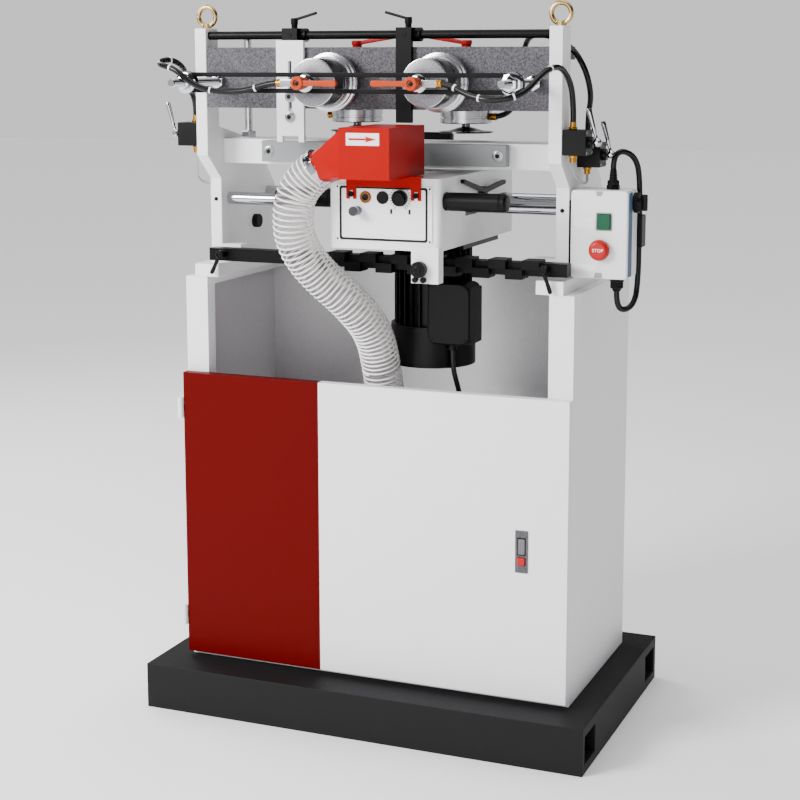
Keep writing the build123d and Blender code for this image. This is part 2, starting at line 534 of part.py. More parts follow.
with BuildPart() as door_latch_button:
    block(
        around(LATCH_X, LATCH_BUTTON_SIZE),
        (
            DOOR_FRONT - LATCH_PLATE - LATCH_BUTTON_TRAVEL - LATCH_BUTTON_PROUD,
            DOOR_FRONT + LATCH_DEPTH - LATCH_FLOOR - LATCH_BUTTON_TRAVEL - SEAT_GAP,
        ),
        around(LATCH_BUTTON_Z, LATCH_BUTTON_SIZE),
    )
save(door_latch_button.part, "door_latch_button")

# Side frames: cast plates with a recessed leg, a foot block, a lug and a bumper
FRAME_OUTLINE = [
    (FRAME_FRONT, FRAME_TOP),
    (FRAME_BACK, FRAME_TOP),
    (FRAME_BACK, SHOULDER_TOP),
    (SHOULDER_BACK, TABLE_TOP),
    *HAUNCH,
    (HEEL_BACK, FOOT_TOP),
    (HEEL_BACK, CABINET_TOP),
    (LEG_FRONT, CABINET_TOP),
    (LEG_FRONT, LEG_TOP),
    (FRAME_FRONT, NECK_BOTTOM),
]
for side, side_name in ((-1, "left"), (1, "right")):
    with BuildPart() as side_frame:
        with BuildSketch(Plane.YZ.offset(side * FRAME_INNER)):
            with BuildLine():
                Polyline(*FRAME_OUTLINE, close=True)
            make_face()
        extrude(amount=side * FRAME_THICKNESS)
        foot_outer = FRAME_OUTER + FOOT_OVERHANG
        foot_x = (side * foot_outer, side * (foot_outer - FOOT_WIDTH))
        block(foot_x, (FOOT_FRONT, FOOT_BACK), (CABINET_TOP, FOOT_TOP))
        block(
            (side * FRAME_INNER, side * (FRAME_INNER - LUG_REACH)),
            (LEG_FRONT, LEG_FRONT + LUG_DEPTH),
            (FOOT_TOP, LUG_TOP),
        )
        rod(
            (side * FRAME_INNER, BUMPER_Y, BUMPER_Z),
            (side * (FRAME_INNER - BUMPER_REACH), BUMPER_Y, BUMPER_Z),
            BUMPER_RADIUS,
        )
        stud_tip = TEMPLATE_FRONT - TEMPLATE_HUB_HEIGHT + TEMPLATE_CAP
        rod(
            (TEMPLATE_STUD_X[side_name], LEG_FRONT, TEMPLATE_STUD_Z),
            (TEMPLATE_STUD_X[side_name], stud_tip, TEMPLATE_STUD_Z),
            TEMPLATE_STUD_RADIUS,
        )
    save(side_frame.part, f"side_frame_{side_name}")

# Lifting eyebolts on the frame tops
with BuildPart() as lifting_eyebolts:
    for side in (-1, 1):
        eye_x = side * (FRAME_INNER + FRAME_THICKNESS / 2)
        with Locations(Location((eye_x, EYE_Y, FRAME_TOP + EYE_RING + EYE_WIRE), (90, 0, 0))):
            Torus(EYE_RING, EYE_WIRE)
        rod((eye_x, EYE_Y, FRAME_TOP), (eye_x, EYE_Y, FRAME_TOP + 2 * EYE_WIRE), 2 * EYE_WIRE)
save(lifting_eyebolts.part, "lifting_eyebolts")

# Upper beam: machined face plate with a slotted top flange
with BuildPart() as upper_beam:
    block(
        around(0, FRAME_GAP),
        (FRAME_FRONT, FRAME_FRONT + BEAM_PLATE),
        (BEAM_BOTTOM, BEAM_TOP),
    )
    block(around(0, FRAME_GAP), (FRAME_FRONT, BEAM_BACK), (BEAM_TOP - BEAM_FLANGE, BEAM_TOP))
    block(
        around(0, BEAM_SLOT_LENGTH),
        around(TOP_CLAMP_Y, BEAM_SLOT_WIDTH),
        (BEAM_TOP - BEAM_FLANGE, BEAM_TOP),
        Mode.SUBTRACT,
    )
    for side in (-1, 1):
        rod(
            (side * COLUMN_X, COLUMN_Y, BEAM_TOP - BEAM_FLANGE),
            (side * COLUMN_X, COLUMN_Y, BEAM_TOP),
            COLUMN_RADIUS + RUN_FIT,
            Mode.SUBTRACT,
        )
save(upper_beam.part, "upper_beam")

with BuildPart() as beam_columns:
    for side in (-1, 1):
        foot = (side * COLUMN_X, COLUMN_Y, TABLE_TOP)
        rod(foot, (side * COLUMN_X, COLUMN_Y, COLUMN_TOP), COLUMN_RADIUS)
        hexagon(foot, (side * COLUMN_X, COLUMN_Y, TABLE_TOP + COLUMN_NUT), 2 * COLUMN_RADIUS)
save(beam_columns.part, "beam_columns")

with BuildPart() as stop_rod:
    rod(
        (-FRAME_INNER, STOP_ROD_Y, STOP_ROD_Z),
        (FRAME_INNER, STOP_ROD_Y, STOP_ROD_Z),
        STOP_ROD_RADIUS,
    )
save(stop_rod.part, "stop_rod")

# Table: white cross beam, grey front strip with two screws, black stop bar along the back
with BuildPart() as table_beam:
    block(
        around(0, FRAME_GAP),
        (TABLE_FRONT, TABLE_BACK),
        (TABLE_TOP - TABLE_HEIGHT, TABLE_TOP),
    )
save(table_beam.part, "table_beam")

with BuildPart() as table_strip:
    strip_front = TABLE_FRONT - STRIP_THICKNESS
    strip_z = (STRIP_TOP - STRIP_HEIGHT, STRIP_TOP)
    block(around(0, STRIP_WIDTH), (strip_front, TABLE_FRONT), strip_z)
    for side in (-1, 1):
        screw_z = sum(strip_z) / 2
        rod(
            (side * STRIP_SCREW_X, strip_front, screw_z),
            (side * STRIP_SCREW_X, strip_front - STRIP_SCREW_HEAD, screw_z),
            STRIP_SCREW_RADIUS,
        )
    block(
        around(TABLE_STOP_X, TABLE_STOP_LENGTH),
        (TABLE_BACK, TABLE_BACK + TABLE_STOP_SIZE),
        around(TABLE_TOP, 2 * TABLE_STOP_SIZE),
    )
save(table_strip.part, "table_strip")

# Slotted clamp bar and its two studs with nuts and washers
with BuildPart() as clamp_bar:
    with BuildSketch(Plane.XZ.offset(-BAR_BACK)):
        with Locations((0, CLAMP_Z)):
            SlotOverall(BAR_LENGTH, BAR_HEIGHT)
            SlotOverall(BAR_LENGTH - (BAR_HEIGHT - BAR_SLOT), BAR_SLOT, mode=Mode.SUBTRACT)
    extrude(amount=BAR_THICKNESS)
save(clamp_bar.part, "clamp_bar")

with BuildPart() as clamp_bar_studs:
    for side in (-1, 1):
        stud_x = side * STUD_X

        def at(y):
            """Point on the stud's axis."""
            return (stud_x, y, CLAMP_Z)

        rod(at(FRAME_FRONT), at(STUD_TIP), STUD_RADIUS)
        hexagon(at(FRAME_FRONT), at(FRAME_FRONT - STUD_NUT_HEIGHT), STUD_NUT_RADIUS)
        for face, outward in ((BAR_FRONT, -1), (BAR_BACK, 1)):
            washer_end = face + outward * STUD_WASHER
            rod(at(face), at(washer_end), STUD_WASHER_RADIUS)
            hexagon(at(washer_end), at(washer_end + outward * STUD_NUT_HEIGHT), STUD_NUT_RADIUS)
save(clamp_bar_studs.part, "clamp_bar_studs")

# Front clamps: cylinder on the bar, pressure plate on its rod, orange clamp lever
for side_name, clamp_x in FRONT_CLAMP_X.items():
    toward = 1 if side_name == "left" else -1
    with BuildPart() as front_clamp_body:
        rod((clamp_x, CAN_FRONT, CLAMP_Z), (clamp_x, CAN_BACK, CLAMP_Z), CAN_RADIUS)
        boss_front = BAR_BACK + SEAT_GAP
        rod((clamp_x, boss_front, CLAMP_Z), (clamp_x, CAN_FRONT, CLAMP_Z), CAN_BOSS_RADIUS)
        rod((clamp_x, CAN_FRONT, CLAMP_Z), (clamp_x, CLAMP_STUD_TIP, CLAMP_Z), CLAMP_STUD_RADIUS)
        washer_back = BAR_FRONT - SEAT_GAP
        rod(
            (clamp_x, washer_back, CLAMP_Z),
            (clamp_x, washer_back - CLAMP_WASHER, CLAMP_Z),
            CLAMP_WASHER_RADIUS,
        )
        port_z = around(CLAMP_Z, PORT_HEIGHT)
        block((clamp_x, clamp_x - toward * PORT_LENGTH), (boss_front, CAN_FRONT - PORT_INSET), port_z)
        block(
            (clamp_x - toward * CAN_BOSS_RADIUS, clamp_x - toward * PORT_LENGTH),
            (BAR_FRONT - PORT_REACH, boss_front),
            port_z,
        )
        rod(
            (clamp_x, CAN_BACK, CLAMP_Z),
            (clamp_x, CAN_BACK - PISTON_ROD_LENGTH, CLAMP_Z),
            PISTON_ROD_RADIUS + RUN_FIT,
            Mode.SUBTRACT,
        )
    save(front_clamp_body.part, f"front_clamp_body_{side_name}")

    with BuildPart() as front_clamp_piston:
        plate_front = PRESSURE_PLATE_BACK - PRESSURE_PLATE
        rod(
            (clamp_x, PRESSURE_PLATE_BACK, CLAMP_Z),
            (clamp_x, plate_front, CLAMP_Z),
            PRESSURE_PLATE_RADIUS,
        )
        rod(
            (clamp_x, plate_front, CLAMP_Z),
            (clamp_x, CAN_BACK - PISTON_ROD_LENGTH + SEAT_GAP, CLAMP_Z),
            PISTON_ROD_RADIUS,
        )
    save(front_clamp_piston.part, f"front_clamp_piston_{side_name}")

    hub_back = BAR_FRONT - SEAT_GAP - CLAMP_WASHER - SEAT_GAP
    lever_plane = Plane((clamp_x, hub_back, CLAMP_Z), x_dir=(toward, 0, 0), z_dir=(0, -1, 0))
    stud_in_hub = hub_back - CLAMP_STUD_TIP
    orange_lever = clamp_lever(
        lever_plane,
        ORANGE_HUB_RADIUS,
        stud_in_hub + HUB_CAP,
        ORANGE_ARM,
        0,
        CLAMP_STUD_RADIUS,
        stud_in_hub + SEAT_GAP,
    )
    save(orange_lever, f"front_clamp_lever_{side_name}")

# Top clamps: cylinders hung from the flange, feet on their rods, red clamp levers
with BuildPart() as top_clamp_bodies:
    for clamp_x in TOP_CLAMP_X.values():
        spot = (clamp_x, TOP_CLAMP_Y)
        rod((*spot, TOP_CAN_BOTTOM), (*spot, TOP_CAN_TOP), TOP_CAN_RADIUS)
        rod((*spot, TOP_CAN_TOP), (*spot, BEAM_TOP - BEAM_FLANGE), TOP_NECK_RADIUS)
        rod((*spot, BEAM_TOP - BEAM_FLANGE), (*spot, TOP_STUD_TOP), TOP_STUD_RADIUS)
        rod(
            (*spot, TOP_CAN_BOTTOM),
            (*spot, TOP_CAN_BOTTOM + FOOT_ROD_LENGTH),
            FOOT_ROD_RADIUS + RUN_FIT,
            Mode.SUBTRACT,
        )
save(top_clamp_bodies.part, "top_clamp_bodies")

with BuildPart() as top_clamp_feet:
    for clamp_x in TOP_CLAMP_X.values():
        disc_top = FOOT_DISC_BOTTOM + FOOT_DISC
        with BuildSketch(Plane((clamp_x, TOP_CLAMP_Y, 0), x_dir=(1, 0, 0), z_dir=(0, -1, 0))):
            with BuildLine():
                Polyline(
                    (0, FOOT_DISC_BOTTOM),
                    (FOOT_DISC_RADIUS, FOOT_DISC_BOTTOM),
                    (FOOT_DISC_RADIUS, disc_top),
                    (FOOT_DOME_RADIUS, disc_top),
                    (FOOT_ROD_RADIUS, FOOT_DOME_TOP),
                    (FOOT_ROD_RADIUS, TOP_CAN_BOTTOM + FOOT_ROD_LENGTH - SEAT_GAP),
                    (0, TOP_CAN_BOTTOM + FOOT_ROD_LENGTH - SEAT_GAP),
                    close=True,
                )
            make_face()
        revolve(axis=Axis((clamp_x, TOP_CLAMP_Y, 0), (0, 0, 1)))
save(top_clamp_feet.part, "top_clamp_feet")

for side_name, clamp_x in TOP_CLAMP_X.items():
    toward = 1 if side_name == "left" else -1
    lever_plane = Plane(
        (clamp_x, TOP_CLAMP_Y, BEAM_TOP + SEAT_GAP), x_dir=(toward, 0, 0), z_dir=(0, 0, 1)
    )
    red_lever = clamp_lever(
        lever_plane,
        RED_HUB_RADIUS,
        RED_HUB_HEIGHT,
        RED_ARM,
        RED_RISE,
        TOP_STUD_RADIUS,
        TOP_STUD_TOP - BEAM_TOP,
    )
    save(red_lever, f"top_clamp_lever_{side_name}")

# Side stops on the stop rod
head_z = around(STOP_ROD_Z, STOP_HEAD_HEIGHT)


def stop_head(middle_x, width, front, bottom):
    """Clamp head, collar and lever stud around the stop rod, with the rod's bore."""
    right = middle_x + width / 2
    block(around(middle_x, width), (front, STOP_HEAD_BACK), (bottom, head_z[1]))
    axis = (STOP_ROD_Y, STOP_ROD_Z)
    rod((right, *axis), (right + STOP_COLLAR, *axis), STOP_COLLAR_RADIUS)
    rod(
        (middle_x, STOP_ROD_Y, head_z[1]),
        (middle_x, STOP_ROD_Y, head_z[1] + STOP_STUD_HEIGHT),
        STOP_STUD_RADIUS,
    )
    rod(
        (middle_x - width / 2, *axis),
        (right + STOP_COLLAR, *axis),
        STOP_ROD_RADIUS + RUN_FIT,
        Mode.SUBTRACT,
    )


with BuildPart() as side_stop_white:
    plate_front = STOP_BACK - WHITE_STOP_THICKNESS
    stop_head(WHITE_STOP_X, WHITE_HEAD_WIDTH, plate_front, WHITE_STOP_TOP)
    with BuildSketch(Plane.XZ.offset(-STOP_BACK)):
        with Locations((WHITE_STOP_X, (WHITE_STOP_BOTTOM + WHITE_STOP_TOP) / 2)):
            Rectangle(WHITE_STOP_WIDTH, WHITE_STOP_TOP - WHITE_STOP_BOTTOM)
        with Locations((WHITE_STOP_X, (WHITE_SLOT_BOTTOM + WHITE_SLOT_TOP) / 2)):
            SlotOverall(
                WHITE_SLOT_TOP - WHITE_SLOT_BOTTOM,
                WHITE_SLOT_WIDTH,
                rotation=90,
                mode=Mode.SUBTRACT,
            )
        with Locations((WHITE_STOP_X, WHITE_STOP_BOTTOM)):
            Rectangle(WHITE_STOP_WIDTH - 2 * WHITE_LEG, 2 * WHITE_LEG, mode=Mode.SUBTRACT)
    extrude(amount=WHITE_STOP_THICKNESS)
    for screw_z in WHITE_SCREW_HEIGHTS:
        rod(
            (WHITE_STOP_X, plate_front, screw_z),
            (WHITE_STOP_X, plate_front - WHITE_SCREW_HEAD, screw_z),
            WHITE_SCREW_RADIUS,
        )
save(side_stop_white.part, "side_stop_white")

with BuildPart() as side_stop_black:
    stop_front = STOP_BACK - BLACK_STOP_THICKNESS
    stop_head(BLACK_STOP_X, BLACK_STOP_WIDTH, stop_front, head_z[0])
    block(
        around(BLACK_STOP_X, BLACK_STOP_WIDTH),
        (stop_front, STOP_BACK),
        (BLACK_STOP_BOTTOM, head_z[1]),
    )
save(side_stop_black.part, "side_stop_black")

for stop_name, stop_x, toward in (("white", WHITE_STOP_X, 1), ("black", BLACK_STOP_X, -1)):
    lever_plane = Plane(
        (stop_x, STOP_ROD_Y, head_z[1] + SEAT_GAP), x_dir=(toward, 0, 0), z_dir=(0, 0, 1)
    )
    stop_lever = clamp_lever(
        lever_plane,
        STOP_HUB_RADIUS,
        STOP_HUB_HEIGHT,
        STOP_ARM,
        STOP_RISE,
        STOP_STUD_RADIUS,
        STOP_STUD_HEIGHT,
    )
    save(stop_lever, f"side_stop_lever_{stop_name}")

# Guide rods and the saddle that runs on them
with BuildPart() as guide_rods:
    for guide_y in GUIDE_YS:
        rod((-FRAME_INNER, guide_y, GUIDE_Z), (FRAME_INNER, guide_y, GUIDE_Z), GUIDE_RADIUS)
save(guide_rods.part, "guide_rods")

saddle_y = (GUIDE_YS[0] - SADDLE_MARGIN, GUIDE_YS[1] + SADDLE_MARGIN)
with BuildPart() as carriage_saddle:
    saddle_x = around(CARRIAGE_X, SADDLE_WIDTH)
    block(saddle_x, saddle_y, (SADDLE_BOTTOM, SADDLE_TOP))
    block(
        around(CARRIAGE_X, SADDLE_KEY_WIDTH), saddle_y, (SADDLE_TOP, SADDLE_TOP + SADDLE_KEY_HEIGHT)
    )
    for guide_y in GUIDE_YS:
        rod(
            (saddle_x[0], guide_y, GUIDE_Z),
            (saddle_x[1], guide_y, GUIDE_Z),
            GUIDE_RADIUS + RUN_FIT,
            Mode.SUBTRACT,
        )
save(carriage_saddle.part, "carriage_saddle")

# Carriage housing: cast cover with cross-slide rails, spindle boss and follower arm
housing_x = around(CARRIAGE_X, HOUSING_WIDTH)
roof = HOUSING_TOP - HOUSING_WALL
with BuildPart() as carriage_housing:
    block(housing_x, (HOUSING_FRONT, HOUSING_BACK), (HOUSING_BOTTOM, HOUSING_TOP))
    fillet(carriage_housing.edges().filter_by(Axis.Z), HOUSING_ROUND)
    block(
        around(CARRIAGE_X, HOUSING_WIDTH - 2 * HOUSING_WALL),
        (HOUSING_FRONT + HOUSING_WALL, HOUSING_BACK - HOUSING_WALL),
        (HOUSING_BOTTOM, roof),
        Mode.SUBTRACT,
    )
    for guide_y in GUIDE_YS:
        slot_reach = GUIDE_RADIUS + ROD_SLOT_MARGIN
        block(
            housing_x,
            (guide_y - CROSS_TRAVEL - slot_reach, guide_y + slot_reach),
            around(GUIDE_Z, 2 * slot_reach),
            Mode.SUBTRACT,
        )
    for side in (-1, 1):
        near = CARRIAGE_X + side * (SADDLE_KEY_WIDTH / 2 + RUN_FIT)
        block(
            (near, near + side * RAIL_WIDTH),
            (saddle_y[0] - CROSS_TRAVEL, HOUSING_BACK - HOUSING_WALL),
            (SADDLE_TOP + RUN_FIT, roof),
        )
    spindle = (CARRIAGE_X, SPINDLE_Y)
    rod((*spindle, HOUSING_TOP), (*spindle, roof - SPINDLE_BOSS_DEPTH), SPINDLE_BOSS_RADIUS)
    rod(
        (*spindle, HOUSING_TOP),
        (*spindle, roof - SPINDLE_BOSS_DEPTH),
        SPINDLE_RADIUS + RUN_FIT,
        Mode.SUBTRACT,
    )
    arm_x = (housing_x[1] - ARM_WIDTH, housing_x[1])
    block(
        arm_x,
        (ARM_FRONT, ARM_FRONT + ARM_THICKNESS),
        (ARM_BOTTOM, HOUSING_BOTTOM + HOUSING_WALL),
    )
    follower = (CARRIAGE_X + FOLLOWER_OFFSET, FOLLOWER_Z)
    arm_back = ARM_FRONT + ARM_THICKNESS
    rod(
        (follower[0], ARM_FRONT, FOLLOWER_Z),
        (follower[0], arm_back, FOLLOWER_Z),
        FOLLOWER_RADIUS + RUN_FIT,
        Mode.SUBTRACT,
    )
    panel_x = around(CARRIAGE_X, HOUSING_WIDTH - 2 * PANEL_MARGIN)
    panel_front = HOUSING_FRONT - PANEL_THICKNESS
    for offset, height, stem in (
        (KNOB_OFFSET, PANEL_FIXING_Z, KNOB_STEM),
        (PLUNGER_OFFSET, PLUNGER_Z, PLUNGER_STEM),
    ):
        rod(
            (CARRIAGE_X + offset, HOUSING_FRONT, height),
            (CARRIAGE_X + offset, HOUSING_FRONT + HOUSING_WALL, height),
            stem + RUN_FIT,
            Mode.SUBTRACT,
        )
    rod(
        (housing_x[1], LOCK_Y, LOCK_Z),
        (housing_x[1] + LOCK_HUB_REACH, LOCK_Y, LOCK_Z),
        CLAMP_STUD_RADIUS,
    )
save(carriage_housing.part, "carriage_housing")

# Front panel with a bronze bush and a black plug
with BuildPart() as carriage_front_panel:
    block(
        panel_x,
        (panel_front, HOUSING_FRONT),
        (HOUSING_BOTTOM + PANEL_MARGIN, HOUSING_TOP - PANEL_MARGIN),
    )
    for offset, radius in ((BUSH_OFFSET, BUSH_RADIUS), (PLUG_OFFSET, PLUG_RADIUS)):
        rod(
            (CARRIAGE_X + offset, panel_front, PANEL_FIXING_Z),
            (CARRIAGE_X + offset, panel_front - FITTING_REACH, PANEL_FIXING_Z),
            radius,
        )
    for offset, height, stem in (
        (KNOB_OFFSET, PANEL_FIXING_Z, KNOB_STEM),
        (PLUNGER_OFFSET, PLUNGER_Z, PLUNGER_STEM),
    ):
        rod(
            (CARRIAGE_X + offset, HOUSING_FRONT, height),
            (CARRIAGE_X + offset, panel_front, height),
            stem + RUN_FIT,
            Mode.SUBTRACT,
        )
save(carriage_front_panel.part, "carriage_front_panel")

with BuildPart() as depth_knob:
    knob = (CARRIAGE_X + KNOB_OFFSET, PANEL_FIXING_Z)
    knob_back = panel_front - SEAT_GAP
    rod((knob[0], knob_back, knob[1]), (knob[0], knob_back - KNOB_REACH, knob[1]), KNOB_RADIUS)
    rod((knob[0], knob_back, knob[1]), (knob[0], HOUSING_FRONT + HOUSING_WALL, knob[1]), KNOB_STEM)
save(depth_knob.part, "depth_knob")

with BuildPart() as locking_plunger:
    plunger_x = CARRIAGE_X + PLUNGER_OFFSET
    rod(
        (plunger_x, panel_front - SEAT_GAP, PLUNGER_Z),
        (plunger_x, panel_front - PLUNGER_REACH, PLUNGER_Z),
        PLUNGER_RADIUS,
    )
    rod(
        (plunger_x, panel_front - SEAT_GAP, PLUNGER_Z),
        (plunger_x, HOUSING_FRONT + HOUSING_WALL, PLUNGER_Z),
        PLUNGER_STEM,
    )
save(locking_plunger.part, "locking_plunger")

with BuildPart() as carriage_handles:
    for side, wall in ((-1, housing_x[0]), (1, housing_x[1])):
        rod((wall, GRIP_Y, GRIP_Z), (wall + side * GRIP_LENGTH, GRIP_Y, GRIP_Z), GRIP_RADIUS)
    fillet(carriage_handles.edges().filter_by(GeomType.CIRCLE), GRIP_ROUND)
save(carriage_handles.part, "carriage_handles")

with BuildPart() as lock_lever:
    lever_x = housing_x[1] + SEAT_GAP
    hub_end = lever_x + LOCK_HUB_REACH + LOCK_CAP
    rod((lever_x, LOCK_Y, LOCK_Z), (hub_end, LOCK_Y, LOCK_Z), LOCK_HUB_RADIUS)
    with BuildSketch(Plane.YZ.offset(hub_end - LOCK_ARM_THICKNESS)):
        for tip in LOCK_TIPS:
            reach = (tip[0] - LOCK_Y, tip[1] - LOCK_Z)
            with Locations((LOCK_Y + reach[0] / 2, LOCK_Z + reach[1] / 2)):
                SlotOverall(
                    hypot(*reach) + LOCK_ARM_THICKNESS,
                    LOCK_ARM_THICKNESS,
                    rotation=degrees(atan2(reach[1], reach[0])),
                )
    extrude(amount=LOCK_ARM_THICKNESS)
    rod(
        (lever_x, LOCK_Y, LOCK_Z),
        (lever_x + LOCK_HUB_REACH, LOCK_Y, LOCK_Z),
        CLAMP_STUD_RADIUS + RUN_FIT,
        Mode.SUBTRACT,
    )
save(lock_lever.part, "lock_lever")

with BuildPart() as follower_knob:
    rod(
        (follower[0], ARM_FRONT - SEAT_GAP, FOLLOWER_Z),
        (follower[0], ARM_FRONT - FOLLOWER_KNOB, FOLLOWER_Z),
        FOLLOWER_KNOB_RADIUS,
    )
    rod(
        (follower[0], ARM_FRONT - SEAT_GAP, FOLLOWER_Z),
        (follower[0], FOLLOWER_TIP, FOLLOWER_Z),
        FOLLOWER_RADIUS,
    )
save(follower_knob.part, "follower_knob")

# Chip hood: sheet box open at the back, skirt with slotted tabs, spout and hose clamp band
hood_x = around(HOOD_X, HOOD_WIDTH)
spout_axis = Vector(-1, 0, -tan(radians(SPOUT_SLOPE))).normalized()
spout_plane = Plane((SPOUT_END_X, SPOUT_Y, SPOUT_END_Z), x_dir=(0, 1, 0), z_dir=spout_axis)
mouth_plane = Plane(
    (hood_x[0], SPOUT_Y, (HOOD_BOTTOM + HOOD_TOP) / 2), x_dir=(0, 1, 0), z_dir=(-1, 0, 0)
)


def spout_loft(wall, mode):
    """Square-to-round spout, drawn in by a wall thickness."""
    with BuildSketch(mouth_plane) as mouth:
        Rectangle(SPOUT_MOUTH_WIDTH - 2 * wall, SPOUT_MOUTH_HEIGHT - 2 * wall)
    with BuildSketch(spout_plane) as outlet:
        Circle(SPOUT_RADIUS - wall)
    return loft([mouth.sketch, outlet.sketch], mode=mode)


with BuildPart() as chip_hood:
    block(hood_x, (HOOD_FRONT, HOOD_BACK), (HOOD_BOTTOM, HOOD_TOP))
    spout_loft(0, Mode.ADD)
    block(
        (hood_x[0] + HOOD_SHEET, hood_x[1] - HOOD_SHEET),
        (HOOD_FRONT + HOOD_SHEET, HOOD_BACK),
        (HOOD_BOTTOM + HOOD_SHEET, HOOD_TOP - HOOD_SHEET),
        Mode.SUBTRACT,
    )
    spout_loft(HOOD_SHEET, Mode.SUBTRACT)
    block(
        (hood_x[0] - SEAT_GAP, hood_x[0] + HOOD_SHEET),
        around(SPOUT_Y, SPOUT_MOUTH_WIDTH - 2 * HOOD_SHEET),
        around((HOOD_BOTTOM + HOOD_TOP) / 2, SPOUT_MOUTH_HEIGHT - 2 * HOOD_SHEET),
        Mode.SUBTRACT,
    )
    block(
        (hood_x[0] + HOOD_SHEET, hood_x[1] - HOOD_SHEET),
        (HOUSING_FRONT + HOUSING_WALL, HOOD_BACK),
        (HOOD_BOTTOM, HOOD_BOTTOM + HOOD_SHEET),
        Mode.SUBTRACT,
    )
    skirt_y = (panel_front - HOOD_SHEET, panel_front)
    block(around(HOOD_X, SKIRT_WIDTH), skirt_y, (SKIRT_BOTTOM, HOOD_BOTTOM + HOOD_SHEET))
    block(
        around(HOOD_X, SKIRT_WIDTH),
        (skirt_y[0], HOUSING_FRONT + HOUSING_WALL),
        (HOOD_BOTTOM, HOOD_BOTTOM + HOOD_SHEET),
    )
    for side in (-1, 1):
        outer = HOOD_X + side * SKIRT_WIDTH / 2
        block((outer, outer - side * TAB_WIDTH), skirt_y, (TAB_BOTTOM, SKIRT_BOTTOM))
        block(
            around(outer - side * TAB_WIDTH / 2, TAB_SLOT),
            skirt_y,
            (TAB_BOTTOM, SKIRT_BOTTOM - TAB_SLOT),
            Mode.SUBTRACT,
        )
    with BuildSketch(spout_plane.offset(-BAND_WIDTH)):
        Circle(SPOUT_RADIUS + 2 * BAND_THICKNESS)
        Circle(SPOUT_RADIUS + BAND_THICKNESS, mode=Mode.SUBTRACT)
    extrude(amount=BAND_WIDTH)
save(chip_hood.part, "chip_hood")

# Spindle with pulley, collet nut and dovetail cutter
pulley_top = PULLEY_BOTTOM + PULLEY_HEIGHT
with BuildPart() as cutter_spindle:
    rod((*spindle, PULLEY_BOTTOM), (*spindle, pulley_top), SPINDLE_PULLEY_RADIUS)
    rod((*spindle, pulley_top), (*spindle, SPINDLE_NOSE), SPINDLE_RADIUS)
    collet_top = SPINDLE_NOSE + COLLET_HEIGHT
    hexagon((*spindle, SPINDLE_NOSE), (*spindle, collet_top), COLLET_RADIUS)
    rod((*spindle, collet_top), (*spindle, CUTTER_TIP - CUTTER_LENGTH), CUTTER_SHANK_RADIUS)
    with Locations((*spindle, CUTTER_TIP - CUTTER_LENGTH)):
        Cone(CUTTER_NECK_RADIUS, CUTTER_RADIUS, CUTTER_LENGTH, align=UP_ALIGN)
save(cutter_spindle.part, "cutter_spindle")

# Motor: mounting plate, finned body, terminal box and fan cover
motor = (CARRIAGE_X, MOTOR_Y)
plate_bottom = HOUSING_BOTTOM - MOTOR_PLATE
with BuildPart() as motor_body:
    block(
        around(CARRIAGE_X, HOUSING_WIDTH - 2 * HOUSING_ROUND),
        around(MOTOR_Y, MOTOR_PLATE_LENGTH),
        (plate_bottom, HOUSING_BOTTOM),
    )
    rod((*motor, FAN_COVER_TOP), (*motor, plate_bottom), MOTOR_CORE_RADIUS)
    fin_length = MOTOR_FIN_RADIUS - MOTOR_CORE_RADIUS + MOTOR_FIN
    with Locations((*motor, FAN_COVER_TOP)):
        with PolarLocations(MOTOR_CORE_RADIUS - MOTOR_FIN, MOTOR_FIN_COUNT):
            Box(
                fin_length,
                MOTOR_FIN,
                plate_bottom - FAN_COVER_TOP,
                align=(Align.MIN, Align.CENTER, Align.MIN),
            )
    block((BOX_LEFT, BOX_RIGHT), (BOX_FRONT, BOX_BACK), (BOX_BOTTOM, BOX_TOP))
    gland = (MOTOR_GLAND_X, MOTOR_GLAND_Y)
    rod((*gland, BOX_BOTTOM), (*gland, BOX_BOTTOM - MOTOR_GLAND), MOTOR_GLAND_RADIUS)
    with Locations((*motor, FAN_COVER_BOTTOM)):
        Cylinder(FAN_COVER_RADIUS, FAN_COVER_TOP - FAN_COVER_BOTTOM, align=UP_ALIGN)
    rod(
        (*motor, plate_bottom - MOTOR_SHAFT_DEPTH),
        (*motor, HOUSING_BOTTOM),
        MOTOR_SHAFT_RADIUS + RUN_FIT,
        Mode.SUBTRACT,
    )
save(motor_body.part, "motor_body")

with BuildPart() as motor_shaft:
    shaft_bottom = plate_bottom - MOTOR_SHAFT_DEPTH + SEAT_GAP
    rod((*motor, shaft_bottom), (*motor, pulley_top), MOTOR_SHAFT_RADIUS)
    rod((*motor, PULLEY_BOTTOM), (*motor, pulley_top), MOTOR_PULLEY_RADIUS)
save(motor_shaft.part, "motor_shaft")

with BuildPart() as drive_belt:
    belt_middle = PULLEY_BOTTOM + PULLEY_HEIGHT / 2
    pulleys = ((spindle, SPINDLE_PULLEY_RADIUS), (motor, MOTOR_PULLEY_RADIUS))
    for extra, mode in ((BELT_THICKNESS, Mode.ADD), (RUN_FIT, Mode.SUBTRACT)):
        with BuildSketch(Plane.XY.offset(belt_middle - BELT_WIDTH / 2)):
            for middle, radius in pulleys:
                with Locations(middle):
                    Circle(radius + extra)
            make_hull()
        extrude(amount=BELT_WIDTH, mode=mode)
save(drive_belt.part, "drive_belt")

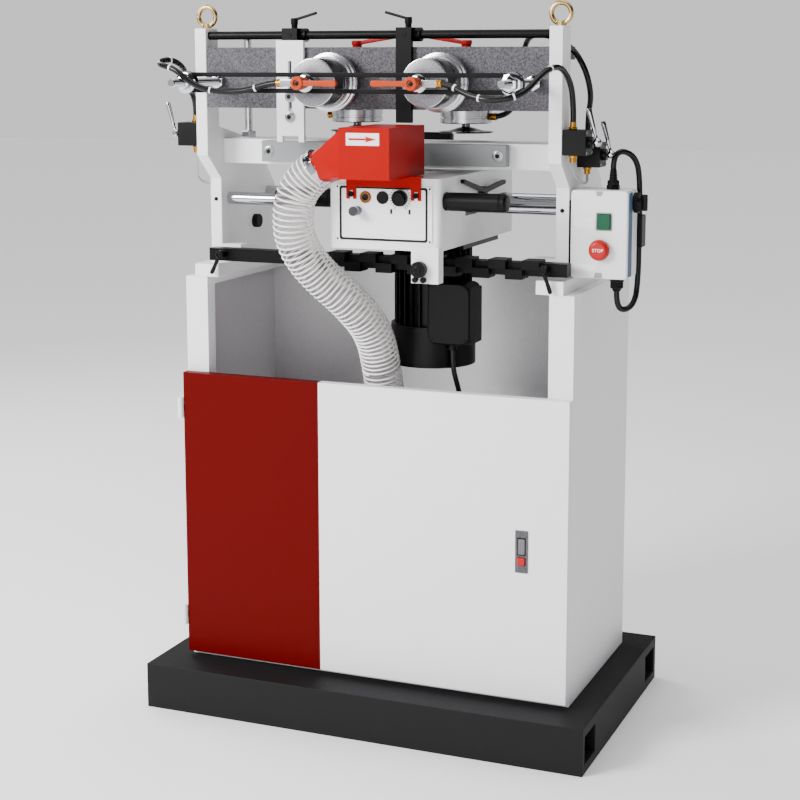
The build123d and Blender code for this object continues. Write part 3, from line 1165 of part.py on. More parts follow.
# Template bar: comb of upper and lower fingers along its front
with BuildPart() as template_bar:
    block(
        (TEMPLATE_LEFT, TEMPLATE_RIGHT),
        (TEMPLATE_FRONT, TEMPLATE_BACK),
        (TEMPLATE_BOTTOM, TEMPLATE_TOP),
    )
    finger_middle = (TEMPLATE_BOTTOM + TEMPLATE_TOP) / 2
    for number in range(FINGER_COUNT):
        upper_x = FINGER_FIRST + number * FINGER_PITCH
        finger_y = (TEMPLATE_FRONT - FINGER_REACH, TEMPLATE_BACK)
        block(around(upper_x, FINGER_WIDTH), finger_y, (finger_middle, TEMPLATE_TOP + FINGER_UP))
        lower_x = upper_x - FINGER_PITCH / 2
        lower_z = (TEMPLATE_BOTTOM - FINGER_DOWN, finger_middle)
        block(around(lower_x, FINGER_WIDTH), finger_y, lower_z)
    for stud_x in TEMPLATE_STUD_X.values():
        rod(
            (stud_x, TEMPLATE_FRONT, TEMPLATE_STUD_Z),
            (stud_x, TEMPLATE_BACK, TEMPLATE_STUD_Z),
            TEMPLATE_STUD_RADIUS + RUN_FIT,
            Mode.SUBTRACT,
        )
save(template_bar.part, "template_bar")

for side, side_name in ((-1, "left"), (1, "right")):
    arm_direction = Vector(1, 0, 0).rotate(Axis.Y, -TEMPLATE_LEANS[side_name])
    lever_plane = Plane(
        (TEMPLATE_STUD_X[side_name], TEMPLATE_FRONT - SEAT_GAP, TEMPLATE_STUD_Z),
        x_dir=(side * arm_direction.X, 0, arm_direction.Z),
        z_dir=(0, -1, 0),
    )
    template_lever = clamp_lever(
        lever_plane,
        TEMPLATE_HUB_RADIUS,
        TEMPLATE_HUB_HEIGHT,
        TEMPLATE_ARM,
        0,
        TEMPLATE_STUD_RADIUS,
        TEMPLATE_HUB_HEIGHT - TEMPLATE_CAP,
    )
    save(template_lever, f"template_lever_{side_name}")

# Control box with bracket, glands and rear cable entry
control_x = (CONTROL_LEFT, CONTROL_RIGHT)
control_y = (CONTROL_FRONT, CONTROL_BACK)
with BuildPart() as control_box:
    block(control_x, control_y, (CONTROL_BOTTOM, CONTROL_TOP))
    fillet(control_box.edges().filter_by(Axis.Y), CONTROL_ROUND)
    block(
        (FRAME_OUTER, CONTROL_LEFT + CONTROL_ROUND),
        (LEG_FRONT, CONTROL_BACK),
        (CONTROL_BOTTOM + BRACKET_INSET, CONTROL_TOP - BRACKET_INSET),
    )
    rod(
        (LOW_GLAND_X, GLAND_Y, CONTROL_BOTTOM),
        (LOW_GLAND_X, GLAND_Y, CONTROL_BOTTOM - LOW_GLAND),
        LOW_GLAND_RADIUS,
    )
    rod(
        (HIGH_GLAND_X, GLAND_Y, CONTROL_TOP),
        (HIGH_GLAND_X, GLAND_Y, CONTROL_TOP + HIGH_GLAND),
        HIGH_GLAND_RADIUS,
    )
    block(
        around(ENTRY_X, ENTRY_WIDTH),
        (CONTROL_BACK, CONTROL_BACK + ENTRY_DEPTH),
        (ENTRY_BOTTOM, ENTRY_TOP),
    )
    block(
        around(START_X, START_WIDTH + 2 * SEAT_GAP),
        (CONTROL_FRONT, CONTROL_FRONT + START_DEPTH),
        around(START_Z, START_HEIGHT + 2 * SEAT_GAP),
        Mode.SUBTRACT,
    )
    rod(
        (STOP_X, CONTROL_FRONT, STOP_Z),
        (STOP_X, CONTROL_FRONT + START_DEPTH + STOP_TRAVEL, STOP_Z),
        STOP_STEM + RUN_FIT,
        Mode.SUBTRACT,
    )
    rod(
        (CONTROL_RIGHT, SWITCH_Y, SWITCH_Z),
        (CONTROL_RIGHT - START_DEPTH, SWITCH_Y, SWITCH_Z),
        SWITCH_STEM + RUN_FIT,
        Mode.SUBTRACT,
    )
save(control_box.part, "control_box")

with BuildPart() as start_button:
    block(
        around(START_X, START_WIDTH),
        (CONTROL_FRONT - START_REACH, CONTROL_FRONT + START_DEPTH - START_TRAVEL - SEAT_GAP),
        around(START_Z, START_HEIGHT),
    )
save(start_button.part, "start_button")

with BuildPart() as stop_button:
    cap_back = CONTROL_FRONT - STOP_TRAVEL - SEAT_GAP
    rod((STOP_X, cap_back, STOP_Z), (STOP_X, cap_back - STOP_CAP, STOP_Z), STOP_RADIUS)
    fillet(stop_button.faces().sort_by(Axis.Y)[0].edges(), STOP_CAP / 2)
    rod((STOP_X, cap_back, STOP_Z), (STOP_X, CONTROL_FRONT + START_DEPTH, STOP_Z), STOP_STEM)
save(stop_button.part, "stop_button")

with BuildPart() as main_switch:
    knob_x = CONTROL_RIGHT + SEAT_GAP
    rod((knob_x, SWITCH_Y, SWITCH_Z), (knob_x + SWITCH_REACH, SWITCH_Y, SWITCH_Z), SWITCH_RADIUS)
    rod(
        (knob_x, SWITCH_Y, SWITCH_Z),
        (CONTROL_RIGHT - START_DEPTH + SEAT_GAP, SWITCH_Y, SWITCH_Z),
        SWITCH_STEM,
    )
save(main_switch.part, "main_switch")

# Air valves on the frames' outer faces, with a brass fitting above and below each
with BuildPart() as air_valves:
    for side, valve_y, valve_z in VALVES.values():
        face = side * FRAME_OUTER
        end = face + side * VALVE_LENGTH
        block((face, end), around(valve_y, VALVE_DEPTH), around(valve_z, VALVE_HEIGHT))
        rod((end, valve_y, valve_z), (end + side * VALVE_NECK, valve_y, valve_z), VALVE_NECK_RADIUS)
        fitting_x = face + side * VALVE_FITTING
        for toward in (-1, 1):
            port_z = valve_z + toward * VALVE_HEIGHT / 2
            rod(
                (fitting_x, valve_y, port_z),
                (fitting_x, valve_y, port_z + toward * VALVE_FITTING),
                VALVE_FITTING_RADIUS,
            )
save(air_valves.part, "air_valves")

for valve_name, (side, valve_y, valve_z) in VALVES.items():
    ball_x = side * (FRAME_OUTER + VALVE_LENGTH + VALVE_NECK + VALVE_BALL_RADIUS + SEAT_GAP)
    with BuildPart() as valve_lever:
        with Locations((ball_x, valve_y, valve_z)):
            Sphere(VALVE_BALL_RADIUS)
        lever_tip = (ball_x - VALVE_LEVER * tan(radians(VALVE_LEAN)), valve_y, valve_z + VALVE_LEVER)
        rod((ball_x, valve_y, valve_z), lever_tip, VALVE_LEVER_RADIUS)
        pin_y = around(valve_y, VALVE_PIN)
        rod((ball_x, pin_y[0], valve_z), (ball_x, pin_y[1], valve_z), VALVE_PIN_RADIUS)
    save(valve_lever.part, f"valve_lever_{valve_name}")

# Hoses and cables: straight runs joined by arcs
spout_end = Vector(SPOUT_END_X, SPOUT_Y, SPOUT_END_Z)
DUST_HOSE_POINTS = [
    tuple(spout_end),
    tuple(spout_end + HOSE_START * spout_axis),
    (-98, -319, 1030),
    (-103, -300, 970),
    (-80, -262, 912),
    (-29, -218, 852),
    (0, -168, 790),
    (2, -134, 715),
    (4, -114, 633),
    (4, -94, 566),
    (3, -60, 507),
    (2, -12, 459),
    (2, 47, 425),
    (OUTLET_X, 112, OUTLET_Z),
    (OUTLET_X, OUTLET_INNER_END, OUTLET_Z),
]
save(cord(DUST_HOSE_POINTS, DUST_HOSE_RADIUS), "dust_hose")

MOTOR_CABLE_POINTS = [
    (*gland, BOX_BOTTOM - MOTOR_GLAND),
    (*gland, 716),
    (146, -97, 680),
    (158, -88, 624),
    (176, -56, 572),
    (204, 0, 530),
    (228, 62, 508),
    (CABLE_PORT_X, 125, CABLE_PORT_Z),
    (CABLE_PORT_X, CABLE_PORT_END, CABLE_PORT_Z),
]
save(cord(MOTOR_CABLE_POINTS, MOTOR_CABLE_RADIUS), "motor_cable")

entry_middle = (ENTRY_X + ENTRY_SHIFT, CONTROL_BACK + ENTRY_DEPTH / 2)
CONTROL_CABLE_POINTS = [
    [
        (LOW_GLAND_X, GLAND_Y, CONTROL_BOTTOM - LOW_GLAND),
        (LOW_GLAND_X, GLAND_Y, 858),
        (469, -86, 843),
        (484, -66, 851),
        (*entry_middle, 884),
        (*entry_middle, ENTRY_BOTTOM),
    ],
    [
        (HIGH_GLAND_X, GLAND_Y, CONTROL_TOP + HIGH_GLAND),
        (HIGH_GLAND_X, GLAND_Y, 1130),
        (463, -86, 1142),
        (482, -60, 1128),
        (*entry_middle, 1090),
        (*entry_middle, ENTRY_TOP),
    ],
]
right_fitting = FRAME_OUTER + VALVE_FITTING
fitting_rise = VALVE_HEIGHT / 2 + VALVE_FITTING
front_valve, rear_valve, left_valve = (
    VALVES[name] for name in ("right_front", "right_rear", "left")
)
top_port_x = TOP_CLAMP_X["right"] + TOP_CAN_RADIUS
AIR_HOSE_POINTS = [
    [
        (top_port_x, TOP_CLAMP_Y, TOP_HOSE_Z),
        (top_port_x + TOP_HOSE_START, TOP_CLAMP_Y, TOP_HOSE_Z),
        (232, -30, 1212),
        (234, 4, 1258),
        (237, 12, 1312),
        (256, -14, 1352),
        (308, -58, 1353),
        (366, -96, 1332),
        (396, -102, 1290),
        (404, -88, 1242),
        (right_fitting, rear_valve[1], 1204),
        (right_fitting, rear_valve[1], rear_valve[2] + fitting_rise),
    ],
    [
        (right_fitting, front_valve[1], front_valve[2] - fitting_rise),
        (right_fitting, front_valve[1], 1104),
        (396, -126, 1084),
        (397, -86, 1079),
        (right_fitting, rear_valve[1], 1086),
        (right_fitting, rear_valve[1], rear_valve[2] - fitting_rise),
    ],
    [
        (-right_fitting, left_valve[1], left_valve[2] - fitting_rise),
        (-right_fitting, left_valve[1], 1098),
        (-392, -146, 1072),
        (-386, -118, 1060),
        (-FRAME_OUTER, -118, 1060),
    ],
]
left_port_x = FRONT_CLAMP_X["left"] - PORT_LENGTH
right_port_x = FRONT_CLAMP_X["right"] + PORT_LENGTH
FRONT_HOSE_POINTS = [
    [
        (left_port_x, FRONT_HOSE_Y, CLAMP_Z),
        (left_port_x - FRONT_HOSE_START, FRONT_HOSE_Y, CLAMP_Z),
        (-185, -326, 1250),
        (-240, -332, 1247),
        (-290, -340, 1260),
        (-325, -345, 1291),
        (-362, -334, 1297),
        (-376, -312, 1304),
        (-366, -288, 1308),
        (-358, -258, 1296),
        (-372, -218, 1276),
        (-386, -184, 1252),
        (-right_fitting, left_valve[1], 1226),
        (-right_fitting, left_valve[1], left_valve[2] + fitting_rise),
    ],
    [
        (right_port_x, FRONT_HOSE_Y, CLAMP_Z),
        (right_port_x + FRONT_HOSE_START, FRONT_HOSE_Y, CLAMP_Z),
        (250, -326, 1244),
        (300, -334, 1236),
        (348, -320, 1246),
        (368, -275, 1284),
        (380, -215, 1298),
        (388, -172, 1270),
        (right_fitting, front_valve[1], 1230),
        (right_fitting, front_valve[1], front_valve[2] + fitting_rise),
    ],
]
control_runs = [cord(run, CONTROL_CABLE_RADIUS) for run in CONTROL_CABLE_POINTS]
save(Compound(children=control_runs), "control_cables")

air_runs = [cord(AIR_HOSE_POINTS[0], AIR_HOSE_RADIUS)]
air_runs += [cord(run, CLEAR_TUBE_RADIUS) for run in AIR_HOSE_POINTS[1:]]
save(Compound(children=air_runs), "air_hoses")

for side_name, points in zip(("left", "right"), FRONT_HOSE_POINTS):
    save(cord(points, AIR_HOSE_RADIUS), f"front_clamp_hose_{side_name}")
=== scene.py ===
"""Looks of a cabinet-mounted pneumatic dovetail machine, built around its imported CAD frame.

Sizes are written in millimetres and become metres where a mesh is made.
"""

from __future__ import annotations

import functools
import json
import logging
import math
from dataclasses import dataclass
from enum import Enum
from typing import Callable, Sequence

import bpy
from mathutils import Matrix, Vector

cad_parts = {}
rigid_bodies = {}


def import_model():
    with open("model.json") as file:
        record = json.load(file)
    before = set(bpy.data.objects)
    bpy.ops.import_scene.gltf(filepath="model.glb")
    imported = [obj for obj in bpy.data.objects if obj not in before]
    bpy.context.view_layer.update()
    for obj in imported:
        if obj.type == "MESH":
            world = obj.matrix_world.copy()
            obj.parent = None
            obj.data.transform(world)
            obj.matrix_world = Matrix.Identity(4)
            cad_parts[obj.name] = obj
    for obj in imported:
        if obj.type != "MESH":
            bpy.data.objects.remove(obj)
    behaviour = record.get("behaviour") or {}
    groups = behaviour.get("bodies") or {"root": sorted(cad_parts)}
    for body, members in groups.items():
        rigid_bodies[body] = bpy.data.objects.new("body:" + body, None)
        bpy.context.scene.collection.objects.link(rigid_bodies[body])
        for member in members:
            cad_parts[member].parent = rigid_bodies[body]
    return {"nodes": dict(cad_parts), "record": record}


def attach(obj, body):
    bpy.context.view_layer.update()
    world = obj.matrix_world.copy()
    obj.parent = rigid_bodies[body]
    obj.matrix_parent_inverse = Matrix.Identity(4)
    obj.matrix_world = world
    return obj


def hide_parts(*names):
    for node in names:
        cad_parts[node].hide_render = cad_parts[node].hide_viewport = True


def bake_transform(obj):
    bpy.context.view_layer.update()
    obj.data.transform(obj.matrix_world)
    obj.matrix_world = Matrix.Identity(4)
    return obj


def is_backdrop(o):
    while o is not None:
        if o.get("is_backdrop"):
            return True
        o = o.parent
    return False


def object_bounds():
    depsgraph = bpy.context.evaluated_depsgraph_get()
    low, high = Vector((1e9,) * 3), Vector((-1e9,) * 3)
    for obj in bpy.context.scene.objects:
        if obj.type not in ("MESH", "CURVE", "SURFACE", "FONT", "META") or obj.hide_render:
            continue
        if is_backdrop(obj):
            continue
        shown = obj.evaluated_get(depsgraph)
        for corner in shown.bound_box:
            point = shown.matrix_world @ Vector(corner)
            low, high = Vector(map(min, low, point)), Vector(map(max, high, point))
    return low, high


logging.basicConfig(level=logging.INFO, format="%(levelname)s %(message)s")
LOG = logging.getLogger("dovetail_machine")

MM = 0.001
# Tolerance of a test of place, in millimetres
SNAP = 0.01

Object = bpy.types.Object
Tree = bpy.types.NodeTree
Socket = bpy.types.NodeSocket
Pair = tuple[float, float]
Triple = tuple[float, float, float]
Colour = tuple[float, float, float, float]
Profile = Sequence[Pair]
Test = Callable[[Vector], bool]
# Radius and height of a clamp lever's hub, length and rise of its arm
LeverSize = tuple[Pair, Pair]

LEFT: Triple = (-1.0, 0.0, 0.0)
RIGHT: Triple = (1.0, 0.0, 0.0)
FRONT: Triple = (0.0, -1.0, 0.0)
BACK: Triple = (0.0, 1.0, 0.0)
UP: Triple = (0.0, 0.0, 1.0)
DOWN: Triple = (0.0, 0.0, -1.0)
CORNERS = ((-1, -1), (-1, 1), (1, -1), (1, 1))


class Slot(str, Enum):
    """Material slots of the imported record."""

    BLACK_PAINT = "black_paint"
    WHITE_PAINT = "white_paint"
    RED_PAINT = "red_paint"
    GREY_IRON = "grey_iron"
    STEEL = "steel"
    CHROME = "chrome"
    BLACK_STEEL = "black_steel"
    BARE_ALUMINIUM = "bare_aluminium"
    BLACK_ALUMINIUM = "black_aluminium"
    BLACK_RUBBER = "black_rubber"
    BLACK_PLASTIC = "black_plastic"
    GREY_PLASTIC = "grey_plastic"
    CLEAR_HOSE = "clear_hose"
    ORANGE_PLASTIC = "orange_plastic"
    RED_PLASTIC = "red_plastic"
    GREEN_PLASTIC = "green_plastic"


class Side(str, Enum):
    """The operator's left and right."""

    LEFT = "left"
    RIGHT = "right"

    @property
    def sign(self) -> int:
        """Minus one on the left, one on the right."""
        return -1 if self is Side.LEFT else 1

    @property
    def out(self) -> Triple:
        """Direction away from the middle."""
        return LEFT if self is Side.LEFT else RIGHT


def linear(code: str, share: float = 1.0) -> Colour:
    """Turn an sRGB hex code into a linear colour.

    Args:
        code: Six hex digits after a hash.
        share: Share of the linear brightness to keep.

    Returns:
        Red, green, blue and an alpha of one.
    """
    channels = []
    for start in (1, 3, 5):
        value = int(code[start:start + 2], 16) / 255
        value = value / 12.92 if value <= 0.04045 else ((value + 0.055) / 1.055) ** 2.4
        channels.append(min(1.0, value * share))
    return (*channels, 1.0)


def add_node(
    tree: Tree, kind: str, sockets: dict[str | int, object], **settings: object
) -> bpy.types.Node:
    """Add one shader node with its settings, constants and links.

    Args:
        tree: Node tree that takes the node.
        kind: Node type.
        sockets: Inputs by name or number; an output socket is linked, a value is set.
        settings: Node properties by name.

    Returns:
        The new node.
    """
    node = tree.nodes.new(kind)
    for name, value in settings.items():
        setattr(node, name, value)
    for name, value in sockets.items():
        if isinstance(value, Socket):
            tree.links.new(value, node.inputs[name])
        else:
            node.inputs[name].default_value = value
    return node


def rounded(width: float, height: float, radius: float, steps: int = 6) -> Profile:
    """Draw a rectangle with round corners about the origin.

    Args:
        width: Size along the first axis.
        height: Size along the second axis.
        radius: Corner radius.
        steps: Points on each corner.

    Returns:
        The outline, anticlockwise.
    """
    outline = []
    for quarter, (a, b) in enumerate(((1, 1), (-1, 1), (-1, -1), (1, -1))):
        for step in range(steps):
            turn = math.radians(90 * (quarter + step / (steps - 1)))
            outline.append((
                a * (width / 2 - radius) + radius * math.cos(turn),
                b * (height / 2 - radius) + radius * math.sin(turn),
            ))
    return tuple(outline)


@dataclass(frozen=True)
class Finish:
    """Surface finish made of shader nodes on object coordinates.

    Attributes:
        name: Material name.
        slot: Record slot that the finish stands for.
        colour: Base colour as an sRGB hex code.
        roughness: Mean roughness.
        metallic: Metallic share.
        specular: Strength of the sheen.
        alpha: Opacity.
        mottle: Share by which the brightness varies.
        mottle_mm: Size of the brightness patches.
        grain_mm: Size of the surface grain.
        depth_mm: Height of the surface grain.
        octaves: Finer octaves of the surface grain.
    """

    name: str
    slot: Slot
    colour: str
    roughness: float
    metallic: float = 0.0
    specular: float = 0.4
    alpha: float = 1.0
    mottle: float = 0.05
    mottle_mm: float = 40.0
    grain_mm: float = 1.2
    depth_mm: float = 0.02
    octaves: float = 2.0

    def build(self) -> bpy.types.Material:
        """Make the material.

        Returns:
            The material with its node tree.
        """
        material = bpy.data.materials.new(self.name)
        material.use_nodes = True
        tree = material.node_tree
        shader = tree.nodes["Principled BSDF"]
        shader.inputs["Metallic"].default_value = self.metallic
        shader.inputs["Specular IOR Level"].default_value = self.specular
        shader.inputs["Alpha"].default_value = self.alpha
        where = add_node(tree, "ShaderNodeTexCoord", {}).outputs["Object"]
        patches = add_node(
            tree, "ShaderNodeTexNoise", self.pattern(where, self.mottle_mm, 3.0)
        ).outputs["Fac"]
        low, high = 0.85 * self.roughness, min(1.0, 1.15 * self.roughness)
        sheen = add_node(
            tree, "ShaderNodeMapRange", {"Value": patches, "To Min": low, "To Max": high}
        )
        relief = {"Distance": self.depth_mm * MM, "Height": self.relief(tree, where)}
        bump = add_node(tree, "ShaderNodeBump", relief)
        for source, name in (
            (self.base_colour(tree, where, patches), "Base Color"),
            (sheen.outputs["Result"], "Roughness"),
            (bump.outputs["Normal"], "Normal"),
        ):
            tree.links.new(source, shader.inputs[name])
        return material

    @staticmethod
    def pattern(where: Socket, size_mm: float, octaves: float) -> dict[str, object]:
        """List the inputs that give a noise its real size."""
        return {"Vector": where, "Scale": 1 / (size_mm * MM), "Detail": octaves, "Roughness": 0.55}

    def toned(self, tree: Tree, colour: str, patches: Socket) -> Socket:
        """Vary one colour's brightness over the patches."""
        tones = {0: patches, 6: linear(colour, 1 - self.mottle), 7: linear(colour, 1 + self.mottle)}
        return add_node(tree, "ShaderNodeMix", tones, data_type="RGBA").outputs[2]

    def base_colour(self, tree: Tree, where: Socket, patches: Socket) -> Socket:
        """Give the base colour."""
        return self.toned(tree, self.colour, patches)

    def relief(self, tree: Tree, where: Socket) -> Socket:
        """Give the height pattern of the surface."""
        grain = self.pattern(where, self.grain_mm, self.octaves)
        return add_node(tree, "ShaderNodeTexNoise", grain).outputs["Fac"]


@dataclass(frozen=True)
class BrushedFinish(Finish):
    """Finish with fine scratches along one direction.

    Attributes:
        stretch: Scale of the pattern along each axis; a small value draws it out.
    """

    octaves: float = 3.0
    stretch: Triple = (0.03, 1.0, 1.0)

    def relief(self, tree: Tree, where: Socket) -> Socket:
        """Give the scratch pattern."""
        drawn = add_node(tree, "ShaderNodeMapping", {"Vector": where, "Scale": self.stretch})
        return super().relief(tree, drawn.outputs["Vector"])


@dataclass(frozen=True)
class SpeckledFinish(Finish):
    """Ground or blasted metal with fine dark specks and a cup wheel's arcs.

    Attributes:
        speck_mm: Size of the specks, drawn coarse enough to show.
        speck_shade: Brightness left in a speck.
        arc_mm: Distance between two arcs, drawn coarse enough to show.
        arc_centre: Middle of the arcs in millimetres.
    """

    speck_mm: float = 1.8
    speck_shade: float = 0.55
    arc_mm: float = 5.0
    arc_centre: Triple = (-420.0, 0.0, 1120.0)

    def base_colour(self, tree: Tree, where: Socket, patches: Socket) -> Socket:
        """Give the colour, darker in the specks.

        Args:
            tree: Node tree.
            where: Object coordinates.
            patches: Pattern of the brightness.

        Returns:
            The colour.
        """
        speck = add_node(tree, "ShaderNodeTexNoise", self.pattern(where, self.speck_mm, 4.0))
        edges = {"Value": speck.outputs["Fac"], "From Min": 0.38, "From Max": 0.62}
        marks = add_node(tree, "ShaderNodeMapRange", edges)
        tones = {
            0: marks.outputs["Result"],
            6: linear(self.colour, self.speck_shade),
            7: self.toned(tree, self.colour, patches),
        }
        return add_node(tree, "ShaderNodeMix", tones, data_type="RGBA").outputs[2]

    def relief(self, tree: Tree, where: Socket) -> Socket:
        """Give the wheel marks.

        Args:
            tree: Node tree.
            where: Object coordinates.

        Returns:
            The height.
        """
        offset = tuple(-value * MM for value in self.arc_centre)
        moved = add_node(tree, "ShaderNodeMapping", {"Vector": where, "Location": offset})
        arcs = {
            "Vector": moved.outputs["Vector"],
            "Scale": math.tau / (20 * self.arc_mm * MM),
            "Distortion": 2.0,
            "Detail": 2.0,
            "Detail Scale": 2.0,
        }
        rings = {"wave_type": "RINGS", "rings_direction": "Y"}
        return add_node(tree, "ShaderNodeTexWave", arcs, **rings).outputs["Fac"]


@dataclass(frozen=True)
class TwoToneFinish(Finish):
    """Paint of two colours that meet on a line across X.

    Attributes:
        other: Colour left of the line.
        line_mm: Place of the line along X.
    """

    other: str = "#540001"
    line_mm: float = -105.0

    def base_colour(self, tree: Tree, where: Socket, patches: Socket) -> Socket:
        """Give the colour on each side of the line.

        Args:
            tree: Node tree.
            where: Object coordinates.
            patches: Pattern of the brightness.

        Returns:
            The colour.
        """
        across = add_node(tree, "ShaderNodeSeparateXYZ", {"Vector": where}).outputs["X"]
        limit = {0: across, 1: self.line_mm * MM}
        side = add_node(tree, "ShaderNodeMath", limit, operation="GREATER_THAN")
        tones = {
            0: side.outputs["Value"],
            6: self.toned(tree, self.other, patches),
            7: self.toned(tree, self.colour, patches),
        }
        return add_node(tree, "ShaderNodeMix", tones, data_type="RGBA").outputs[2]


# Powder coat: even, with a faint orange peel
WHITE_COAT = Finish(
    "white_powder_coat", Slot.WHITE_PAINT, "#ECECEF", 0.42, mottle=0.02, mottle_mm=90.0
)
# The same coat inside the cabinet, a darker grey that paints the shade inside it, with a fine
# speckle
SHADED_INSIDE_COAT = Finish(
    "shaded_inside_powder_coat", Slot.WHITE_PAINT, "#D2D0D2", 0.55, mottle=0.10, mottle_mm=7.0
)
# Powder coat in two colours, masked on a straight line
TWO_TONE_COAT = TwoToneFinish(
    "two_tone_powder_coat", Slot.WHITE_PAINT, "#ECECF0", 0.42, specular=0.06, mottle=0.02,
    mottle_mm=120.0,
)
# Enamel on a sand casting: slightly lumpy under the paint
WHITE_CASTING = Finish(
    "white_enamel_casting", Slot.WHITE_PAINT, "#EBEBEC", 0.44, mottle=0.03, mottle_mm=70.0,
    grain_mm=3.0, depth_mm=0.06,
)
# Wrinkle paint: fine bumps that scatter the light
WRINKLE_PAINT = Finish(
    "black_wrinkle_paint", Slot.BLACK_PAINT, "#111112", 0.62, specular=0.18, mottle=0.22,
    mottle_mm=5.0, grain_mm=1.6, depth_mm=0.20,
)
# Gloss enamel on folded sheet
RED_ENAMEL = Finish(
    "red_gloss_enamel", Slot.RED_PAINT, "#980100", 0.36, specular=0.08, mottle=0.03
)
# Ground cast iron: dark pores and the wheel's arcs
CAST_IRON = SpeckledFinish(
    "ground_cast_iron", Slot.GREY_IRON, "#5D5B60", 0.55, metallic=0.2, specular=0.25, mottle=0.20,
    mottle_mm=60.0, depth_mm=0.05, speck_mm=2.6, speck_shade=0.32,
)
# Die-cast zinc: dull grey skin with fine pits
CAST_ZINC = SpeckledFinish(
    "die_cast_zinc", Slot.STEEL, "#605F63", 0.50, metallic=0.3, specular=0.25, speck_mm=2.0,
    speck_shade=0.45,
)
# Turned aluminium face: blasted speckle
BLASTED_ALUMINIUM = SpeckledFinish(
    "blasted_aluminium", Slot.BARE_ALUMINIUM, "#858388", 0.40, metallic=0.55, depth_mm=0.01,
    speck_mm=2.6, arc_mm=1.6,
)
# Turned aluminium rim: bright with fine rings
TURNED_ALUMINIUM = BrushedFinish(
    "turned_aluminium", Slot.BARE_ALUMINIUM, "#B4B4B8", 0.24, metallic=1.0, grain_mm=0.8,
    depth_mm=0.006, stretch=(0.05, 1.0, 0.05),
)
# Polished aluminium side: mirrors the dark room
POLISHED_ALUMINIUM = BrushedFinish(
    "polished_aluminium", Slot.BARE_ALUMINIUM, "#6A686B", 0.20, metallic=1.0, depth_mm=0.01,
    stretch=(0.05, 1.0, 0.05),
)
# Bright drawn steel: scratches along its length
DRAWN_STEEL = BrushedFinish(
    "drawn_steel", Slot.STEEL, "#8E8F92", 0.30, metallic=1.0, grain_mm=0.8, depth_mm=0.006
)
# Hard chrome and bright zinc: clean reflections
CHROME = Finish(
    "hard_chrome", Slot.CHROME, "#B9BABF", 0.09, metallic=1.0, mottle=0.03, mottle_mm=12.0,
    depth_mm=0.002,
)
# Dark chrome dome of a pressure foot
DARK_CHROME = Finish(
    "dark_chrome", Slot.CHROME, "#5C5D61", 0.20, metallic=1.0, mottle_mm=10.0, depth_mm=0.003
)
# Yellow passivated zinc: gold with a pink and green cast
YELLOW_ZINC = Finish(
    "yellow_zinc", Slot.CHROME, "#B79A66", 0.22, metallic=1.0, mottle=0.16, mottle_mm=9.0,
    depth_mm=0.004,
)
# Black oxide on steel: nearly black, with an oily sheen
BLACK_STEEL = Finish(
    "black_oxide_steel", Slot.BLACK_STEEL, "#030304", 0.40, specular=0.12, mottle=0.25,
    mottle_mm=14.0, grain_mm=0.8, depth_mm=0.01,
)
# Grey hammer enamel on a machined strip
GREY_ENAMEL = BrushedFinish(
    "grey_machine_enamel", Slot.STEEL, "#818485", 0.50, mottle=0.08, mottle_mm=30.0, grain_mm=0.9,
    depth_mm=0.01,
)
# Black enamel on cast aluminium
BLACK_CASTING = Finish(
    "black_enamel_casting", Slot.BLACK_ALUMINIUM, "#020203", 0.36, specular=0.14, mottle=0.20,
    mottle_mm=12.0, grain_mm=1.6, depth_mm=0.05,
)
# Black anodised aluminium: satin
BLACK_ANODISED = Finish(
    "black_anodised_aluminium", Slot.BLACK_ALUMINIUM, "#040405", 0.36, specular=0.15, mottle=0.12,
    mottle_mm=8.0, grain_mm=0.6, depth_mm=0.01,
)
# Moulded rubber: dull, with a fine skin
RUBBER = Finish(
    "moulded_rubber", Slot.BLACK_RUBBER, "#040404", 0.55, specular=0.14, mottle=0.14,
    mottle_mm=8.0, grain_mm=0.7,
)
# Polyurethane air hose and cable sheath: smooth and slightly glossy
CABLE_SHEATH = Finish(
    "black_cable_sheath", Slot.BLACK_RUBBER, "#020202", 0.26, specular=0.28, mottle=0.10,
    mottle_mm=20.0, grain_mm=2.0, depth_mm=0.01,
)
# Glass-filled nylon: fine spark-eroded texture
BLACK_NYLON = Finish(
    "black_nylon", Slot.BLACK_PLASTIC, "#030304", 0.38, specular=0.14, mottle=0.10, mottle_mm=6.0,
    grain_mm=0.7, depth_mm=0.015,
)
# Polycarbonate enclosure: smooth moulding
POLYCARBONATE = Finish(
    "grey_polycarbonate", Slot.GREY_PLASTIC, "#E3E5E3", 0.36, mottle=0.02, grain_mm=0.9,
    depth_mm=0.008,
)
# Moulded trim of the enclosure: plain grey
GREY_CLIP = Finish(
    "grey_moulded_clip", Slot.GREY_PLASTIC, "#8D9290", 0.40, mottle=0.04, mottle_mm=6.0
)
# Foam gasket between the enclosure's shells: soft and dull
BLUE_GASKET = Finish(
    "blue_foam_gasket", Slot.BLACK_RUBBER, "#3C5878", 0.55, mottle=0.08, mottle_mm=5.0,
    grain_mm=0.8, depth_mm=0.03,
)
# Polyurethane hose: clear wavy wall
CLEAR_WALL = Finish(
    "clear_polyurethane", Slot.CLEAR_HOSE, "#8F8A8A", 0.20, alpha=0.30, mottle=0.06,
    mottle_mm=18.0, grain_mm=3.0, depth_mm=0.10,
)
# Hard helix of the hose: milky white
WHITE_HELIX = Finish(
    "white_hose_helix", Slot.CLEAR_HOSE, "#EFECEB", 0.32, mottle=0.04, mottle_mm=9.0
)
# Thin polyurethane air tube: half clear
CLEAR_TUBE = Finish(
    "clear_air_tube", Slot.CLEAR_HOSE, "#A9ABA8", 0.15, alpha=0.65, mottle_mm=9.0
)
